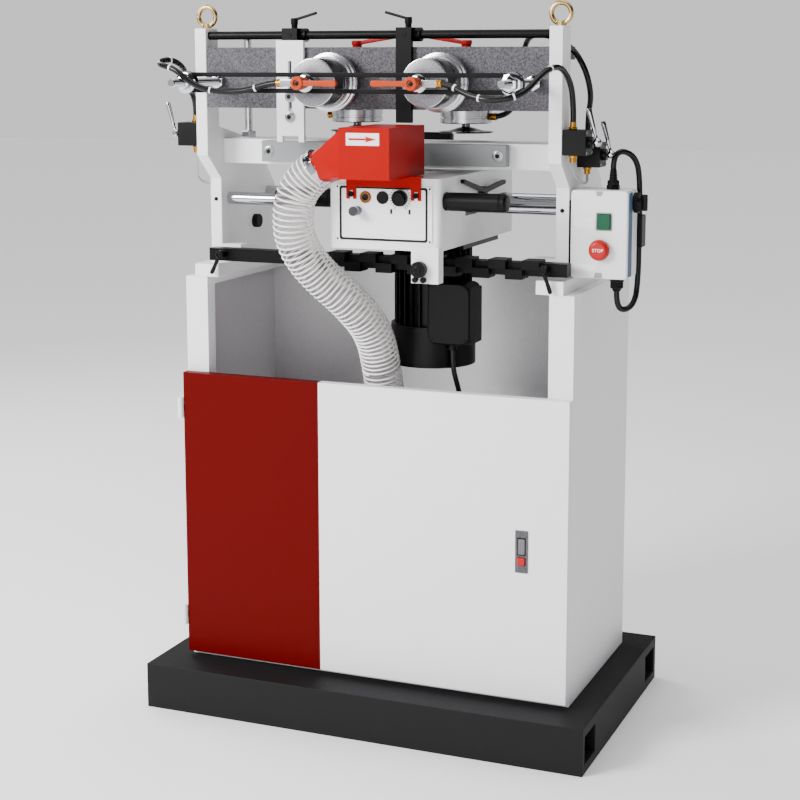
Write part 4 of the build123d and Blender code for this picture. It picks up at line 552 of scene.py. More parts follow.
# Moulded clamp levers: satin nylon
ORANGE_NYLON = Finish(
    "orange_nylon", Slot.ORANGE_PLASTIC, "#A33402", 0.36, specular=0.25, mottle_mm=12.0,
    grain_mm=0.7, depth_mm=0.012,
)
RED_NYLON = Finish(
    "red_nylon", Slot.RED_PLASTIC, "#A80803", 0.36, specular=0.25, mottle_mm=12.0, grain_mm=0.7,
    depth_mm=0.012,
)
# Moulded push buttons: smooth caps
RED_CAP = Finish("red_moulded_cap", Slot.RED_PLASTIC, "#A80503", 0.28, specular=0.3, mottle=0.03)
GREEN_CAP = Finish(
    "green_moulded_cap", Slot.GREEN_PLASTIC, "#01492E", 0.36, specular=0.25, mottle=0.04
)
# Printed film and its inks: flat and slightly satin
WHITE_FILM = Finish("white_film", Slot.WHITE_PAINT, "#F0F0F2", 0.42, mottle=0.015)
BLACK_INK = Finish("black_ink", Slot.BLACK_PAINT, "#040404", 0.50, specular=0.2)
RED_INK = Finish("red_ink", Slot.RED_PAINT, "#A80503", 0.45, specular=0.2, mottle=0.04)
# Turned brass: yellow with fine tool marks
BRASS = Finish(
    "turned_brass", Slot.STEEL, "#B07C2A", 0.26, metallic=1.0, mottle=0.12, mottle_mm=6.0,
    grain_mm=0.6, depth_mm=0.004,
)
# Sintered bronze: brown, with the powder's grain
BRONZE = Finish(
    "sintered_bronze", Slot.STEEL, "#7E4E28", 0.34, metallic=0.85, mottle=0.14, mottle_mm=3.0,
    grain_mm=0.6, depth_mm=0.01,
)


def repeated(model: Callable[..., Object]) -> Callable[..., Object]:
    """Let a shape be modelled once for each set of sizes and then copied.

    Args:
        model: Method that models the shape about the origin, along Z.

    Returns:
        Method that takes a copy's foot and axis and then the sizes that the model takes.
    """

    @functools.wraps(model)
    def put(
        bench: Bench, foot: Triple, axis: Triple, *sizes: object, across: Triple | None = None
    ) -> Object:
        """Put a copy with a mesh of its own in place.

        Args:
            bench: Bench that keeps the shapes.
            foot: New place of the shape's origin in millimetres.
            axis: New direction of its Z.
            sizes: The shape's sizes.
            across: New direction of its X, where that matters.

        Returns:
            The copy.
        """
        key = (model.__name__, *sizes)
        if key not in bench.stock:
            master = model(bench, *sizes)
            bench.stock[key] = master.data
            bpy.data.objects.remove(master)
        piece = bpy.data.objects.new(model.__name__, bench.stock[key].copy())
        bpy.context.collection.objects.link(piece)
        turn = Vector(UP).rotation_difference(Vector(axis)).to_matrix()
        if across is not None:
            first, third = Vector(across).normalized(), Vector(axis).normalized()
            turn = Matrix((first, third.cross(first), third)).transposed()
        piece.matrix_world = Matrix.Translation(Vector(foot) * MM) @ turn.to_4x4()
        return bench.settle(piece)

    return put


class Bench:
    """Modelling steps done with Blender's own tools."""

    SMOOTH_ANGLE = math.radians(32)
    TUBE_ANGLE = math.radians(50)
    BEVEL_ANGLE = math.radians(36)
    MERGE = 0.005 * MM

    def __init__(self) -> None:
        """Start with no repeated shapes."""
        self.stock: dict[tuple, bpy.types.Mesh] = {}

    def clear(self) -> None:
        """Leave edit mode and select nothing."""
        active = bpy.context.view_layer.objects.active
        if active is not None and active.mode != "OBJECT":
            bpy.ops.object.mode_set(mode="OBJECT")
        bpy.ops.object.select_all(action="DESELECT")

    def pick(self, *pieces: Object) -> None:
        """Select only these pieces and make the first one active.

        Args:
            pieces: The pieces.
        """
        self.clear()
        for piece in pieces:
            piece.select_set(True)
        bpy.context.view_layer.objects.active = pieces[0]

    def start(self, primitive: Callable[..., object], **settings: object) -> Object:
        """Add a primitive to shape.

        Args:
            primitive: Operator that adds it.
            settings: The operator's settings.

        Returns:
            The primitive, active and the only one selected.
        """
        self.clear()
        primitive(**settings)
        return bpy.context.active_object

    def edit(self, piece: Object, mode: str = "VERT") -> None:
        """Open a piece in edit mode with all of it selected.

        Args:
            piece: The piece.
            mode: Selection mode.
        """
        self.pick(piece)
        bpy.ops.object.mode_set(mode="EDIT")
        bpy.ops.mesh.select_mode(type=mode)
        bpy.ops.mesh.select_all(action="SELECT")

    def select_faces(self, piece: Object, chosen: Callable[[bpy.types.MeshPolygon], bool]) -> None:
        """Open a piece in edit mode with some of its faces selected.

        Args:
            piece: The piece.
            chosen: Tells whether a face is selected.
        """
        self.edit(piece, "FACE")
        bpy.ops.mesh.select_all(action="DESELECT")
        bpy.ops.object.mode_set(mode="OBJECT")
        for face in piece.data.polygons:
            face.select = chosen(face)
        bpy.ops.object.mode_set(mode="EDIT")

    def close(self) -> None:
        """Make the normals consistent and leave edit mode."""
        bpy.ops.mesh.select_all(action="SELECT")
        bpy.ops.mesh.normals_make_consistent(inside=False)
        bpy.ops.object.mode_set(mode="OBJECT")

    def settle(self, piece: Object) -> Object:
        """Apply the piece's place, turn and scale to its mesh.

        Args:
            piece: The piece.

        Returns:
            The piece.
        """
        self.pick(piece)
        bpy.ops.object.transform_apply(location=True, rotation=True, scale=True)
        return piece

    def smooth(self, piece: Object, angle: float = SMOOTH_ANGLE) -> Object:
        """Shade smooth across shallow edges.

        Args:
            piece: The piece.
            angle: Steepest edge that stays smooth.

        Returns:
            The piece.
        """
        self.pick(piece)
        bpy.ops.object.shade_smooth_by_angle(angle=angle)
        return piece

    def apply(self, piece: Object, kind: str, **settings: object) -> Object:
        """Add a modifier and apply it.

        Args:
            piece: The piece.
            kind: Modifier type.
            settings: Modifier properties.

        Returns:
            The piece.
        """
        self.pick(piece)
        modifier = piece.modifiers.new(kind.title(), kind)
        for name, value in settings.items():
            setattr(modifier, name, value)
        bpy.ops.object.modifier_apply(modifier=modifier.name)
        return piece

    def soften(self, piece: Object, width: float, segments: int = 2) -> Object:
        """Bevel the sharp edges and keep the flat faces flat.

        Args:
            piece: The piece.
            width: Bevel width in millimetres.
            segments: Bevel segments.

        Returns:
            The piece.
        """
        self.apply(
            piece, "BEVEL", width=width * MM, segments=segments, limit_method="ANGLE",
            angle_limit=self.BEVEL_ANGLE, use_clamp_overlap=True,
        )
        return self.apply(self.smooth(piece), "WEIGHTED_NORMAL", keep_sharp=True)

    def cut(self, piece: Object, tool: Object) -> Object:
        """Take a tool's shape out of a piece.

        Args:
            piece: The piece.
            tool: The shape to remove; it is deleted.

        Returns:
            The piece.
        """
        self.apply(piece, "BOOLEAN", operation="DIFFERENCE", object=tool, solver="EXACT")
        bpy.data.objects.remove(tool, do_unlink=True)
        return piece

    def block(self, x: Pair, y: Pair, z: Pair, bevel: float, segments: int = 2) -> Object:
        """Make a box with softened edges.

        Args:
            x: Limits along X in millimetres.
            y: Limits along Y.
            z: Limits along Z.
            bevel: Bevel width.
            segments: Bevel segments.

        Returns:
            The piece.
        """
        middle = [sum(pair) / 2 * MM for pair in (x, y, z)]
        piece = self.start(bpy.ops.mesh.primitive_cube_add, size=1.0, location=middle)
        piece.scale = [abs(pair[1] - pair[0]) * MM for pair in (x, y, z)]
        return self.soften(self.settle(piece), bevel, segments)

    @repeated
    def lathe(self, profile: Profile, steps: int = 56) -> Object:
        """Spin a profile about the axis.

        Args:
            profile: Radius and height of each point in millimetres.
            steps: Faces around.

        Returns:
            The piece.
        """
        piece = self.start(bpy.ops.mesh.primitive_plane_add, size=MM)
        self.edit(piece)
        bpy.ops.mesh.merge(type="CENTER")
        bpy.ops.transform.translate(value=(profile[0][0] * MM, 0.0, profile[0][1] * MM))
        for last, point in zip(profile, profile[1:]):
            step = ((point[0] - last[0]) * MM, 0.0, (point[1] - last[1]) * MM)
            bpy.ops.mesh.extrude_region_move(TRANSFORM_OT_translate={"value": step})
        bpy.ops.mesh.select_all(action="SELECT")
        bpy.ops.mesh.spin(steps=steps, angle=math.tau, center=(0, 0, 0), axis=UP)
        bpy.ops.mesh.select_all(action="SELECT")
        bpy.ops.mesh.remove_doubles(threshold=self.MERGE)
        self.close()
        return self.smooth(piece)

    @repeated
    def prism(
        self, outline: Profile, depth: float, bevel: float = 0.0, segments: int = 2
    ) -> Object:
        """Extrude an outline along the axis.

        Args:
            outline: Corner points along X and Y in millimetres.
            depth: Length of the extrusion.
            bevel: Bevel width, or zero for sharp edges.
            segments: Bevel segments.

        Returns:
            The piece.
        """
        circle = {"vertices": len(outline), "radius": MM, "fill_type": "NGON"}
        piece = self.start(bpy.ops.mesh.primitive_circle_add, **circle)
        for vertex, (x, y) in zip(piece.data.vertices, outline):
            vertex.co = (x * MM, y * MM, 0.0)
        self.edit(piece)
        bpy.ops.mesh.extrude_region_move(TRANSFORM_OT_translate={"value": (0, 0, depth * MM)})
        self.close()
        return self.soften(piece, bevel, segments) if bevel else self.smooth(piece)

    @repeated
    def hexagon(self, radius: float, height: float) -> Object:
        """Make a hexagon nut with turned-off corners.

        Args:
            radius: Radius over the corners in millimetres.
            height: Height along the axis.

        Returns:
            The piece.
        """
        piece = self.start(
            bpy.ops.mesh.primitive_cylinder_add, vertices=6, radius=radius * MM,
            depth=height * MM, location=(0, 0, height / 2 * MM),
        )
        self.settle(piece)
        self.apply(piece, "BEVEL", width=radius * 0.07 * MM, segments=2, limit_method="ANGLE")
        return self.smooth(piece)

    @repeated
    def knurl(self, radius: float, height: float, teeth: int, depth: float) -> Object:
        """Make a drum with straight knurling and chamfered rims.

        Args:
            radius: Outer radius in millimetres.
            height: Height along the axis.
            teeth: Number of teeth.
            depth: Depth of the knurling.

        Returns:
            The piece.
        """
        outline = []
        for number in range(4 * teeth):
            turn = math.tau * number / (4 * teeth)
            reach = radius if number % 4 < 2 else radius - depth
            outline.append((reach * math.cos(turn), reach * math.sin(turn)))
        piece = self.prism((0, 0, depth), UP, tuple(outline), height - 2 * depth)
        self.select_faces(piece, lambda face: abs(face.normal.z) > 0.9)
        bpy.ops.mesh.extrude_region_move(TRANSFORM_OT_translate={"value": (0, 0, 0)})
        bpy.ops.object.mode_set(mode="OBJECT")
        for face in [face for face in piece.data.polygons if face.select]:
            for index in face.vertices:
                corner = piece.data.vertices[index].co
                corner.z = 0.0 if corner.z < height / 2 * MM else height * MM
                keep = (radius - 2.2 * depth) * MM / math.hypot(corner.x, corner.y)
                corner.x, corner.y = corner.x * keep, corner.y * keep
        return self.smooth(piece)

    @repeated
    def thread(self, radius: float, length: float, pitch: float) -> Object:
        """Make a threaded rod of repeated ridges with closed ends.

        Args:
            radius: Outer radius in millimetres.
            length: Length along the axis.
            pitch: Distance between ridges.

        Returns:
            The piece.
        """
        root = radius - 0.55 * pitch
        ridge = ((root, 0), (radius, 0.35 * pitch), (radius, 0.55 * pitch), (root, pitch))
        core = (
            (0, 0), (root - 0.3, 0), (root, 0.4), (root, length - 0.4), (root - 0.3, length),
            (0, length),
        )
        rod = self.apply(
            self.lathe((0, 0, pitch), UP, ridge, 32), "ARRAY",
            count=max(2, int((length - 2 * pitch) / pitch)), use_relative_offset=False,
            use_constant_offset=True, constant_offset_displace=(0, 0, pitch * MM),
            use_merge_vertices=True, merge_threshold=2 * self.MERGE,
        )
        self.pick(rod, self.lathe((0, 0, 0), UP, core, 32))
        bpy.ops.object.join()
        return self.smooth(rod)

    @repeated
    def cap_screw(self, radius: float, height: float) -> Object:
        """Make a socket screw's head with its hexagon socket.

        Args:
            radius: Head radius in millimetres.
            height: Head height.

        Returns:
            The piece.
        """
        profile = (
            (0, 0), (radius, 0), (radius, height * 0.86), (radius * 0.94, height), (0, height)
        )
        head = self.lathe((0, 0, 0), UP, profile, 40)
        socket = self.start(
            bpy.ops.mesh.primitive_cylinder_add, vertices=6, radius=radius * 0.56 * MM,
            depth=height * MM, location=(0, 0, height * 0.95 * MM),
        )
        return self.smooth(self.cut(head, socket))

    def tube(self, line: Sequence[Vector], radius: float, resolution: int = 5) -> Object:
        """Make a mesh tube along points of a line.

        Args:
            line: Points in metres.
            radius: Tube radius in millimetres.
            resolution: Fineness around the tube.

        Returns:
            The piece.
        """
        data = bpy.data.curves.new("tube", "CURVE")
        data.dimensions = "3D"
        data.bevel_depth, data.bevel_resolution = radius * MM, resolution
        data.use_fill_caps = True
        spline = data.splines.new("POLY")
        spline.points.add(len(line) - 1)
        for control, place in zip(spline.points, line):
            control.co = (*place, 1.0)
        piece = bpy.data.objects.new("tube", data)
        bpy.context.collection.objects.link(piece)
        self.pick(piece)
        bpy.ops.object.convert(target="MESH")
        return self.smooth(piece, self.TUBE_ANGLE)

    def split(self, piece: Object, test: Test) -> Object:
        """Move the faces whose corners all pass a test to a piece of their own.

        Args:
            piece: The piece to take them from.
            test: Test of a corner in millimetres.

        Returns:
            The new piece.
        """
        passing = [test(vertex.co / MM) for vertex in piece.data.vertices]
        before = set(bpy.data.objects)
        self.select_faces(piece, lambda face: all(passing[index] for index in face.vertices))
        bpy.ops.mesh.separate(type="SELECTED")
        bpy.ops.object.mode_set(mode="OBJECT")
        return (set(bpy.data.objects) - before).pop()


class Workshop(Bench):
    """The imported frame, and the bench where its pieces are made and coated."""

    # Half widths of a lever's arm along it, both as shares
    ARM = ((0.0, 0.5), (0.25, 0.42), (0.5, 0.40), (0.8, 0.48), (0.93, 0.47), (0.98, 0.36),
           (1.0, 0.16))

    def __init__(self) -> None:
        """Load the frame, measure it and look up each node's body."""
        super().__init__()
        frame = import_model()
        self.cad_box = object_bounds()
        self.nodes = frame["nodes"]
        self.materials: dict[str, bpy.types.Material] = {}
        bodies = frame["record"]["behaviour"]["bodies"]
        self.body_of = {node: body for body, nodes in bodies.items() for node in nodes}

    def coat(self, piece: Object, finish: Finish) -> None:
        """Give a piece its material.

        Args:
            piece: The piece.
            finish: Its finish.
        """
        if finish.name not in self.materials:
            self.materials[finish.name] = finish.build()
        piece.data.materials.clear()
        piece.data.materials.append(self.materials[finish.name])

    def join(self, name: str, pieces: Object | list[Object]) -> Object:
        """Join pieces into one and name it.

        Args:
            name: Name of the result.
            pieces: One piece or several.

        Returns:
            The joined piece.
        """
        pieces = pieces if isinstance(pieces, list) else [pieces]
        self.pick(*pieces)
        if len(pieces) > 1:
            bpy.ops.object.join()
        pieces[0].name = name
        return pieces[0]

    def add(
        self, name: str, pieces: Object | list[Object], finish: Finish, body: str, *nodes: str
    ) -> Object:
        """Finish a piece and fix it to a body.

        Args:
            name: Name of the piece.
            pieces: What it is joined from.
            finish: Its finish.
            body: Body that carries it.
            nodes: CAD nodes that it replaces.

        Returns:
            The piece.
        """
        piece = self.join(name, pieces)
        self.coat(piece, finish)
        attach(piece, body)
        if nodes:
            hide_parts(*nodes)
        LOG.info("%s: %s on %s", name, finish.name, body)
        return piece

    def refine(
        self, node: str, finish: Finish, bevel: float, *parts: tuple[str, Finish, Test],
        level: float | None = None,
    ) -> None:
        """Replace a CAD node by a copy with softened edges, and coat parts of it apart.

        Args:
            node: CAD node.
            finish: Finish of the main part.
            bevel: Bevel width in millimetres.
            parts: Name, finish and test of every corner of a face in millimetres.
            level: Height at which the faces are cut first.
        """
        piece = bpy.data.objects.new(node, self.nodes[node].data.copy())
        bpy.context.collection.objects.link(piece)
        self.edit(piece)
        bpy.ops.mesh.remove_doubles(threshold=2 * self.MERGE)
        bpy.ops.mesh.dissolve_limited(angle_limit=math.radians(1.0))
        if level is not None:
            bpy.ops.mesh.select_all(action="SELECT")
            bpy.ops.mesh.bisect(plane_co=(0, 0, level * MM), plane_no=UP)
        bpy.ops.object.mode_set(mode="OBJECT")
        apart = [(name, coat, self.split(piece, test)) for name, coat, test in parts]
        for name, coat, part in (*apart, (f"{node}_shape", finish, piece)):
            self.add(name, self.soften(part, bevel), coat, self.body_of[node], node)

    def lever(
        self, node: str, finish: Finish, foot: Triple, axis: Triple, arm: Triple, size: LeverSize
    ) -> None:
        """Build a clamp lever: waisted hub, tapered arm and a dark hexagon socket.

        Args:
            node: CAD node that the lever replaces.
            finish: Finish of hub and arm.
            foot: Foot of the hub in millimetres.
            axis: Direction of the hub.
            arm: Direction of the arm across the axis.
            size: Sizes of hub and arm.
        """
        (radius, height), (length, rise) = size
        origin, upward, outward = Vector(foot), Vector(axis), Vector(arm)
        floor = height - 0.2 * radius
        barrel = (
            (0, 0), (0.84 * radius, 0), (0.86 * radius, 0.3 * height), (radius, 0.45 * height),
            (radius, height - 0.12 * radius), (0.88 * radius, height), (0.55 * radius, height),
            (0.5 * radius, floor), (0, floor),
        )
        span = math.hypot(length, rise)
        sides = [(share * span, half * radius) for share, half in self.ARM]
        outline = (*((at, -half) for at, half in sides), *reversed(sides))
        along = (outward * length + upward * rise).normalized()
        pieces = [
            self.lathe(foot, axis, barrel, 40),
            self.prism(
                origin + upward * (height - 0.85 * radius), along.cross(upward.cross(outward)),
                outline, 0.7 * radius, 0.16 * radius, 3, across=along,
            ),
        ]
        body = self.body_of[node]
        self.add(f"{node}_shape", pieces, finish, body, node)
        socket = self.hexagon(origin + upward * floor, axis, 0.36 * radius, 0.12 * radius)
        self.add(f"{node}_socket", socket, BLACK_NYLON, body)


def length_of(line: Sequence[Vector]) -> float:
    """Add up a line's length in metres."""
    return sum((end - start).length for start, end in zip(line, line[1:]))


@dataclass(frozen=True)
class Route:
    """Line of a hose or cable: a smooth spline that the listed points steer.

    Attributes:
        name: Name of the cord.
        radius: Outer radius in millimetres.
        points: Control points in millimetres.
    """

    name: str
    radius: float
    points: tuple[Triple, ...]

    def curve(self) -> Object:
        """Make the spline as a curve object.

        Returns:
            The curve, with no thickness yet.
        """
        data = bpy.data.curves.new(self.name, "CURVE")
        data.dimensions = "3D"
        spline = data.splines.new("NURBS")
        spline.points.add(len(self.points) - 1)
        for control, place in zip(spline.points, self.points):
            control.co = (*(Vector(place) * MM), 1.0)
        spline.order_u = 3
        spline.use_endpoint_u = True
        spline.resolution_u = data.resolution_u = 16
        return bpy.data.objects.new(self.name, data)

    def cable(self) -> Object:
        """Make the whole cord as a thick curve.

        Returns:
            The curve object, in the scene.
        """
        piece = self.curve()
        piece.data.bevel_depth = self.radius * MM
        piece.data.bevel_resolution = 4
        piece.data.use_fill_caps = True
        bpy.context.collection.objects.link(piece)
        return piece

    def line(self) -> list[Vector]:
        """Read the points along the smooth line.

        Returns:
            The points in metres.
        """
        holder = self.curve()
        mesh = bpy.data.meshes.new_from_object(holder)
        points = [vertex.co.copy() for vertex in mesh.vertices]
        bpy.data.objects.remove(holder)
        bpy.data.meshes.remove(mesh)
        return points


@dataclass
class Assembly:
    """Part of the machine, with its sizes in millimetres.

    A pair gives X and Z or a width and a height, a triple X, Y and Z, and a profile radius and
    height, unless a comment says otherwise.

    Attributes:
        shop: Where its pieces are made.
    """

    shop: Workshop


@dataclass
class Cabinet(Assembly):
    """Plinth, cabinet shell, door and latch."""

    inlay: Triple = (314.5, -202.8, 403.0)
    inlay_size: Pair = (17.0, 34.0)
    outlet: Triple = (2.0, 408.0, 38.8)  # X, Z and radius
    inside: Triple = (401.1, -177.1, 207.1)  # half width, front and back
    floor: float = 93.0
    hinge_x: float = -403.6  # the hinge eyes lie left of this

    def build(self) -> None:
        """Build the cabinet."""
        shop = self.shop
        shop.refine("plinth", WRINKLE_PAINT, 1.5)
        shop.refine(
            "cabinet_shell", WHITE_COAT, 0.7,
            ("extraction_outlet", DRAWN_STEEL, self._in_outlet),
            # Inner walls: a darker grey coat, painted shade inside the open cabinet
            ("cabinet_inside", SHADED_INSIDE_COAT, self._is_inside),
        )
        shop.refine(
            "door", TWO_TONE_COAT, 1.0, ("door_hinge_eyes", WHITE_COAT, self._on_hinge)
        )
        shop.refine("door_latch", CAST_ZINC, 0.6)
        shop.refine("door_latch_button", RED_CAP, 1.6)
        width, height = self.inlay_size
        for name, finish, margin, depth in (
            ("latch_rim", BLACK_NYLON, 0.0, 0.5), ("latch_inlay", POLISHED_ALUMINIUM, 4.0, 0.9)
        ):
            outline = rounded(width - margin, height - margin, 1.5)
            inlay = shop.prism(self.inlay, FRONT, outline, depth, 0.2)
            shop.add(name, inlay, finish, shop.body_of["door_latch"])

    def _is_inside(self, at: Vector) -> bool:
        """Tell whether a corner lies on the cabinet's inner walls."""
        half, front, back = self.inside
        return abs(at.x) < half and front < at.y < back and at.z > self.floor

    def _on_hinge(self, at: Vector) -> bool:
        """Tell whether a corner lies on the door's hinge eyes."""
        return at.x < self.hinge_x

    def _in_outlet(self, at: Vector) -> bool:
        """Tell whether a corner lies on the extraction outlet."""
        x, z, radius = self.outlet
        return math.hypot(at.x - x, at.z - z) < radius


@dataclass
class Superstructure(Assembly):
    """Side frames, beam, columns, rods, table and template."""

    frame_inner: float = 350.0
    leg_front: float = -125.0
    bumper: Triple = (19.0, 974.0, 14.3)  # Y, Z and radius
    leg_screw: Pair = (362.0, 1030.0)
    stud: Pair = (927.0, 4.2)  # height and radius
    strip_front: float = -134.0
    strip_screw: Pair = (238.0, 1128.5)
    screw_radius: float = 8.0
    stop_bar: float = -100.0  # the bar lies behind this

    def build(self) -> None:
        """Build the superstructure."""
        shop = self.shop
        for side in Side:
            self._frame(side)
        shop.refine("lifting_eyebolts", YELLOW_ZINC, 0.3)
        shop.refine("upper_beam", CAST_IRON, 0.8)
        shop.refine("beam_columns", CHROME, 0.8)
        shop.refine("stop_rod", BLACK_STEEL, 0.8)
        shop.refine("guide_rods", CHROME, 0.8)
        shop.refine("table_beam", WHITE_CASTING, 1.2)
        shop.refine(
            "table_strip", GREY_ENAMEL, 0.8,
            ("table_stop_bar", BLACK_STEEL, self._on_stop_bar),
            ("strip_screw_heads", CHROME, self._on_strip_screw),
        )
        for side in Side:
            self._strip_trim(side)
        shop.refine("template_bar", BLACK_STEEL, 1.6)

    def _frame(self, side: Side) -> None:
        """Build one side frame with its bumper, stud and set screw.

        Args:
            side: Which frame.
        """
        name, (x, z) = side.value, self.leg_screw
        self.shop.refine(
            f"side_frame_{name}", WHITE_CASTING, 1.8,
            (f"bumper_{name}", RUBBER, self._on_bumper),
            (f"template_stud_{name}", DRAWN_STEEL, self._on_stud),
        )
        screw = self.shop.cap_screw((side.sign * x, self.leg_front, z), FRONT, 4.0, 1.6)
        self.shop.add(f"leg_screw_{name}", screw, BLACK_STEEL, "frame")

    def _on_bumper(self, at: Vector) -> bool:
        """Tell whether a corner lies on a rubber bumper."""
        y, z, radius = self.bumper
        return abs(at.x) < self.frame_inner + SNAP and math.hypot(at.y - y, at.z - z) < radius

    def _on_stud(self, at: Vector) -> bool:
        """Tell whether a corner lies on a template stud."""
        return at.y < self.leg_front + SNAP and abs(at.z - self.stud[0]) < self.stud[1]

    def _on_stop_bar(self, at: Vector) -> bool:
        """Tell whether a corner lies on the table's stop bar."""
        return at.y > self.stop_bar

    def _on_strip_screw(self, at: Vector) -> bool:
        """Tell whether a corner lies on a strip screw's head."""
        away = math.hypot(abs(at.x) - self.strip_screw[0], at.z - self.strip_screw[1])
        return away < self.screw_radius + 0.2 and at.y < self.strip_front + SNAP

    def _strip_trim(self, side: Side) -> None:
        """Put a washer round a strip screw and a black hexagon on its head, painted shade of its
        socket.

        Args:
            side: Which screw.
        """
        shop, name, radius = self.shop, side.value, self.screw_radius
        x, z = side.sign * self.strip_screw[0], self.strip_screw[1]
        profile = ((radius, 0), (radius + 3, 0), (radius + 2.6, 1.2), (radius, 1.6))
        washer = shop.lathe((x, self.strip_front, z), FRONT, profile)
        shop.add(f"strip_washer_{name}", washer, DRAWN_STEEL, "frame")
        # Black hexagon on the head: painted shade of the hex socket
        socket = shop.hexagon((x, self.strip_front - 3.0, z), FRONT, 4.6, 0.4)
        shop.add(f"strip_socket_{name}", socket, BLACK_NYLON, "frame")


@dataclass
class ClampBar(Assembly):
    """Slotted bar in front of the beam, on two threaded studs."""

    stud_x: float = 323.0
    height: float = 1265.0
    beam_face: float = -178.0
    bar: Pair = (-308.0, -298.0)  # front and back
    tip: float = -365.0
    nut: Pair = (15, 12)  # radius over the corners and height
    washer: Profile = ((8.2, 0), (21, 0), (21, 1.2), (17.5, 3), (12, 4), (8.2, 4))
    washer_height: float = 4

    def build(self) -> None:
        """Build the bar, its studs, nuts and washers."""
        self.shop.refine("clamp_bar", BLACK_STEEL, 1.2)
        for side in Side:
            self._stud(side)

    def _stud(self, side: Side) -> None:
        """Build one stud with its nuts and domed washers.

        Args:
            side: Which stud.
        """
        shop, x, z = self.shop, side.sign * self.stud_x, self.height
        root = (x, self.beam_face, z)
        pieces = [
            shop.thread(root, FRONT, 8.0, self.beam_face - self.tip, 2.5),
            shop.hexagon(root, FRONT, *self.nut),
        ]
        for face, axis in zip(self.bar, (FRONT, BACK)):
            seat = (x, face + axis[1] * self.washer_height, z)
            pieces.append(shop.lathe((x, face, z), axis, self.washer))
            pieces.append(shop.hexagon(seat, axis, *self.nut))
        shop.add(f"clamp_bar_stud_{side.value}", pieces, CHROME, "frame", "clamp_bar_studs")


@dataclass
class FrontClamp(Assembly):
    """Air clamp on the slotted bar, pressing toward the beam."""

    side: Side
    x: float
    height: float = 1265.0
    can_back: float = -216.0
    plate_back: float = -188.5
    bar_front: float = -308.0
    lever_foot: float = -312.2
    lever: LeverSize = ((12.5, 32.8), (78.0, 0.0))
    port_reach: Triple = (13, 14, 42)  # the arm's start, the nose's start and their end
    port_y: Triple = (-328.0, -297.7, -279.0)  # the nose's front and back, and the arm's back
    port_half: float = 6.5
    ring_y: float = -320.0
    steps: int = 96
    can: Profile = (
        (0, 46), (14.1, 46), (14.1, 0), (42, 0), (45, 2), (45, 9), (43.4, 9.6), (43.4, 12),
        (45, 12.6), (45, 17), (43.8, 17.6), (43.8, 19.4), (45, 20), (45, 57), (44, 58.2),
        (44, 58.4), (0, 58.4),
    )
    face: Profile = ((14, 58.4), (43.2, 58.4), (43.2, 59), (42.2, 59.4), (16, 59.4), (14, 59))
    rim: Profile = ((43.2, 58.3), (44.6, 57.6), (44.4, 58.8), (43.2, 59.2))
    boss: Profile = ((0, 59), (14, 59), (14, 80.5), (13, 81.7), (6, 81.7), (6, 126), (0, 126))
    washer: Profile = ((6, 0.3), (17, 0.3), (17, 1.2), (14, 2.8), (9, 3.9), (6, 3.9))
    ring: Profile = (
        (5.6, 0), (7.6, 0), (7.6, 3), (6.8, 3.6), (6.8, 5), (7.4, 5.6), (7.4, 8), (6.4, 9),
        (5.6, 9),
    )
    plate: Profile = (
        (0, 0), (52, 0), (55, 2), (55, 8), (53.6, 8.6), (53.6, 11), (55, 11.6), (55, 15),
        (51.5, 16), (51.5, 19), (50.6, 19.5), (50.6, 21), (51.5, 21.5), (51.5, 24), (48, 25),
        (48, 27), (14, 27), (14, 73.2), (0, 73.2),
    )

    def build(self) -> None:
        """Build the cylinder, the port, the pressure plate and the lever."""
        self._cylinder()
        self._port()
        shop, node = self.shop, f"front_clamp_piston_{self.side.value}"
        plate = shop.lathe((self.x, self.plate_back, self.height), FRONT, self.plate, self.steps)
        shop.add(f"{node}_shape", plate, TURNED_ALUMINIUM, shop.body_of[node], node)
        shop.lever(
            f"front_clamp_lever_{self.side.value}", ORANGE_NYLON,
            (self.x, self.lever_foot, self.height), FRONT, (-self.side.sign, 0, 0), self.lever,
        )

    def _cylinder(self) -> None:
        """Build the grooved cylinder with its face, rim, boss and stud."""
        shop, name = self.shop, self.side.value
        node, back = f"front_clamp_body_{name}", (self.x, self.can_back, self.height)
        body = shop.body_of[node]
        for part, profile, finish in (
            ("can", self.can, POLISHED_ALUMINIUM),
            ("can_face", self.face, BLASTED_ALUMINIUM),
            ("can_rim", self.rim, TURNED_ALUMINIUM),
        ):
            turned = shop.lathe(back, FRONT, profile, self.steps)
            shop.add(f"front_{part}_{name}", turned, finish, body, node)
        mount = [
            shop.lathe(back, FRONT, self.boss),
            shop.lathe((self.x, self.bar_front, self.height), FRONT, self.washer),
        ]
        shop.add(f"front_clamp_mount_{name}", mount, CHROME, body, node)

    def _port(self) -> None:
        """Build the port block that reaches round the bar, with its brass ring."""
        shop, name, sign = self.shop, self.side.value, self.side.sign
        node = f"front_clamp_body_{name}"
        arm, nose, end = (self.x + sign * reach for reach in self.port_reach)
        front, middle, back = self.port_y
        z = (self.height - self.port_half, self.height + self.port_half)
        blocks = [
            shop.block((arm, end), (middle, back), z, 1.2),
            shop.block((nose, end), (front, middle), z, 1.2),
        ]
        body = shop.body_of[node]
        shop.add(f"front_clamp_port_{name}", blocks, TURNED_ALUMINIUM, body, node)
        ring = shop.lathe((end, self.ring_y, self.height), self.side.out, self.ring, 32)
        shop.add(f"port_ring_{name}", ring, BRASS, body)


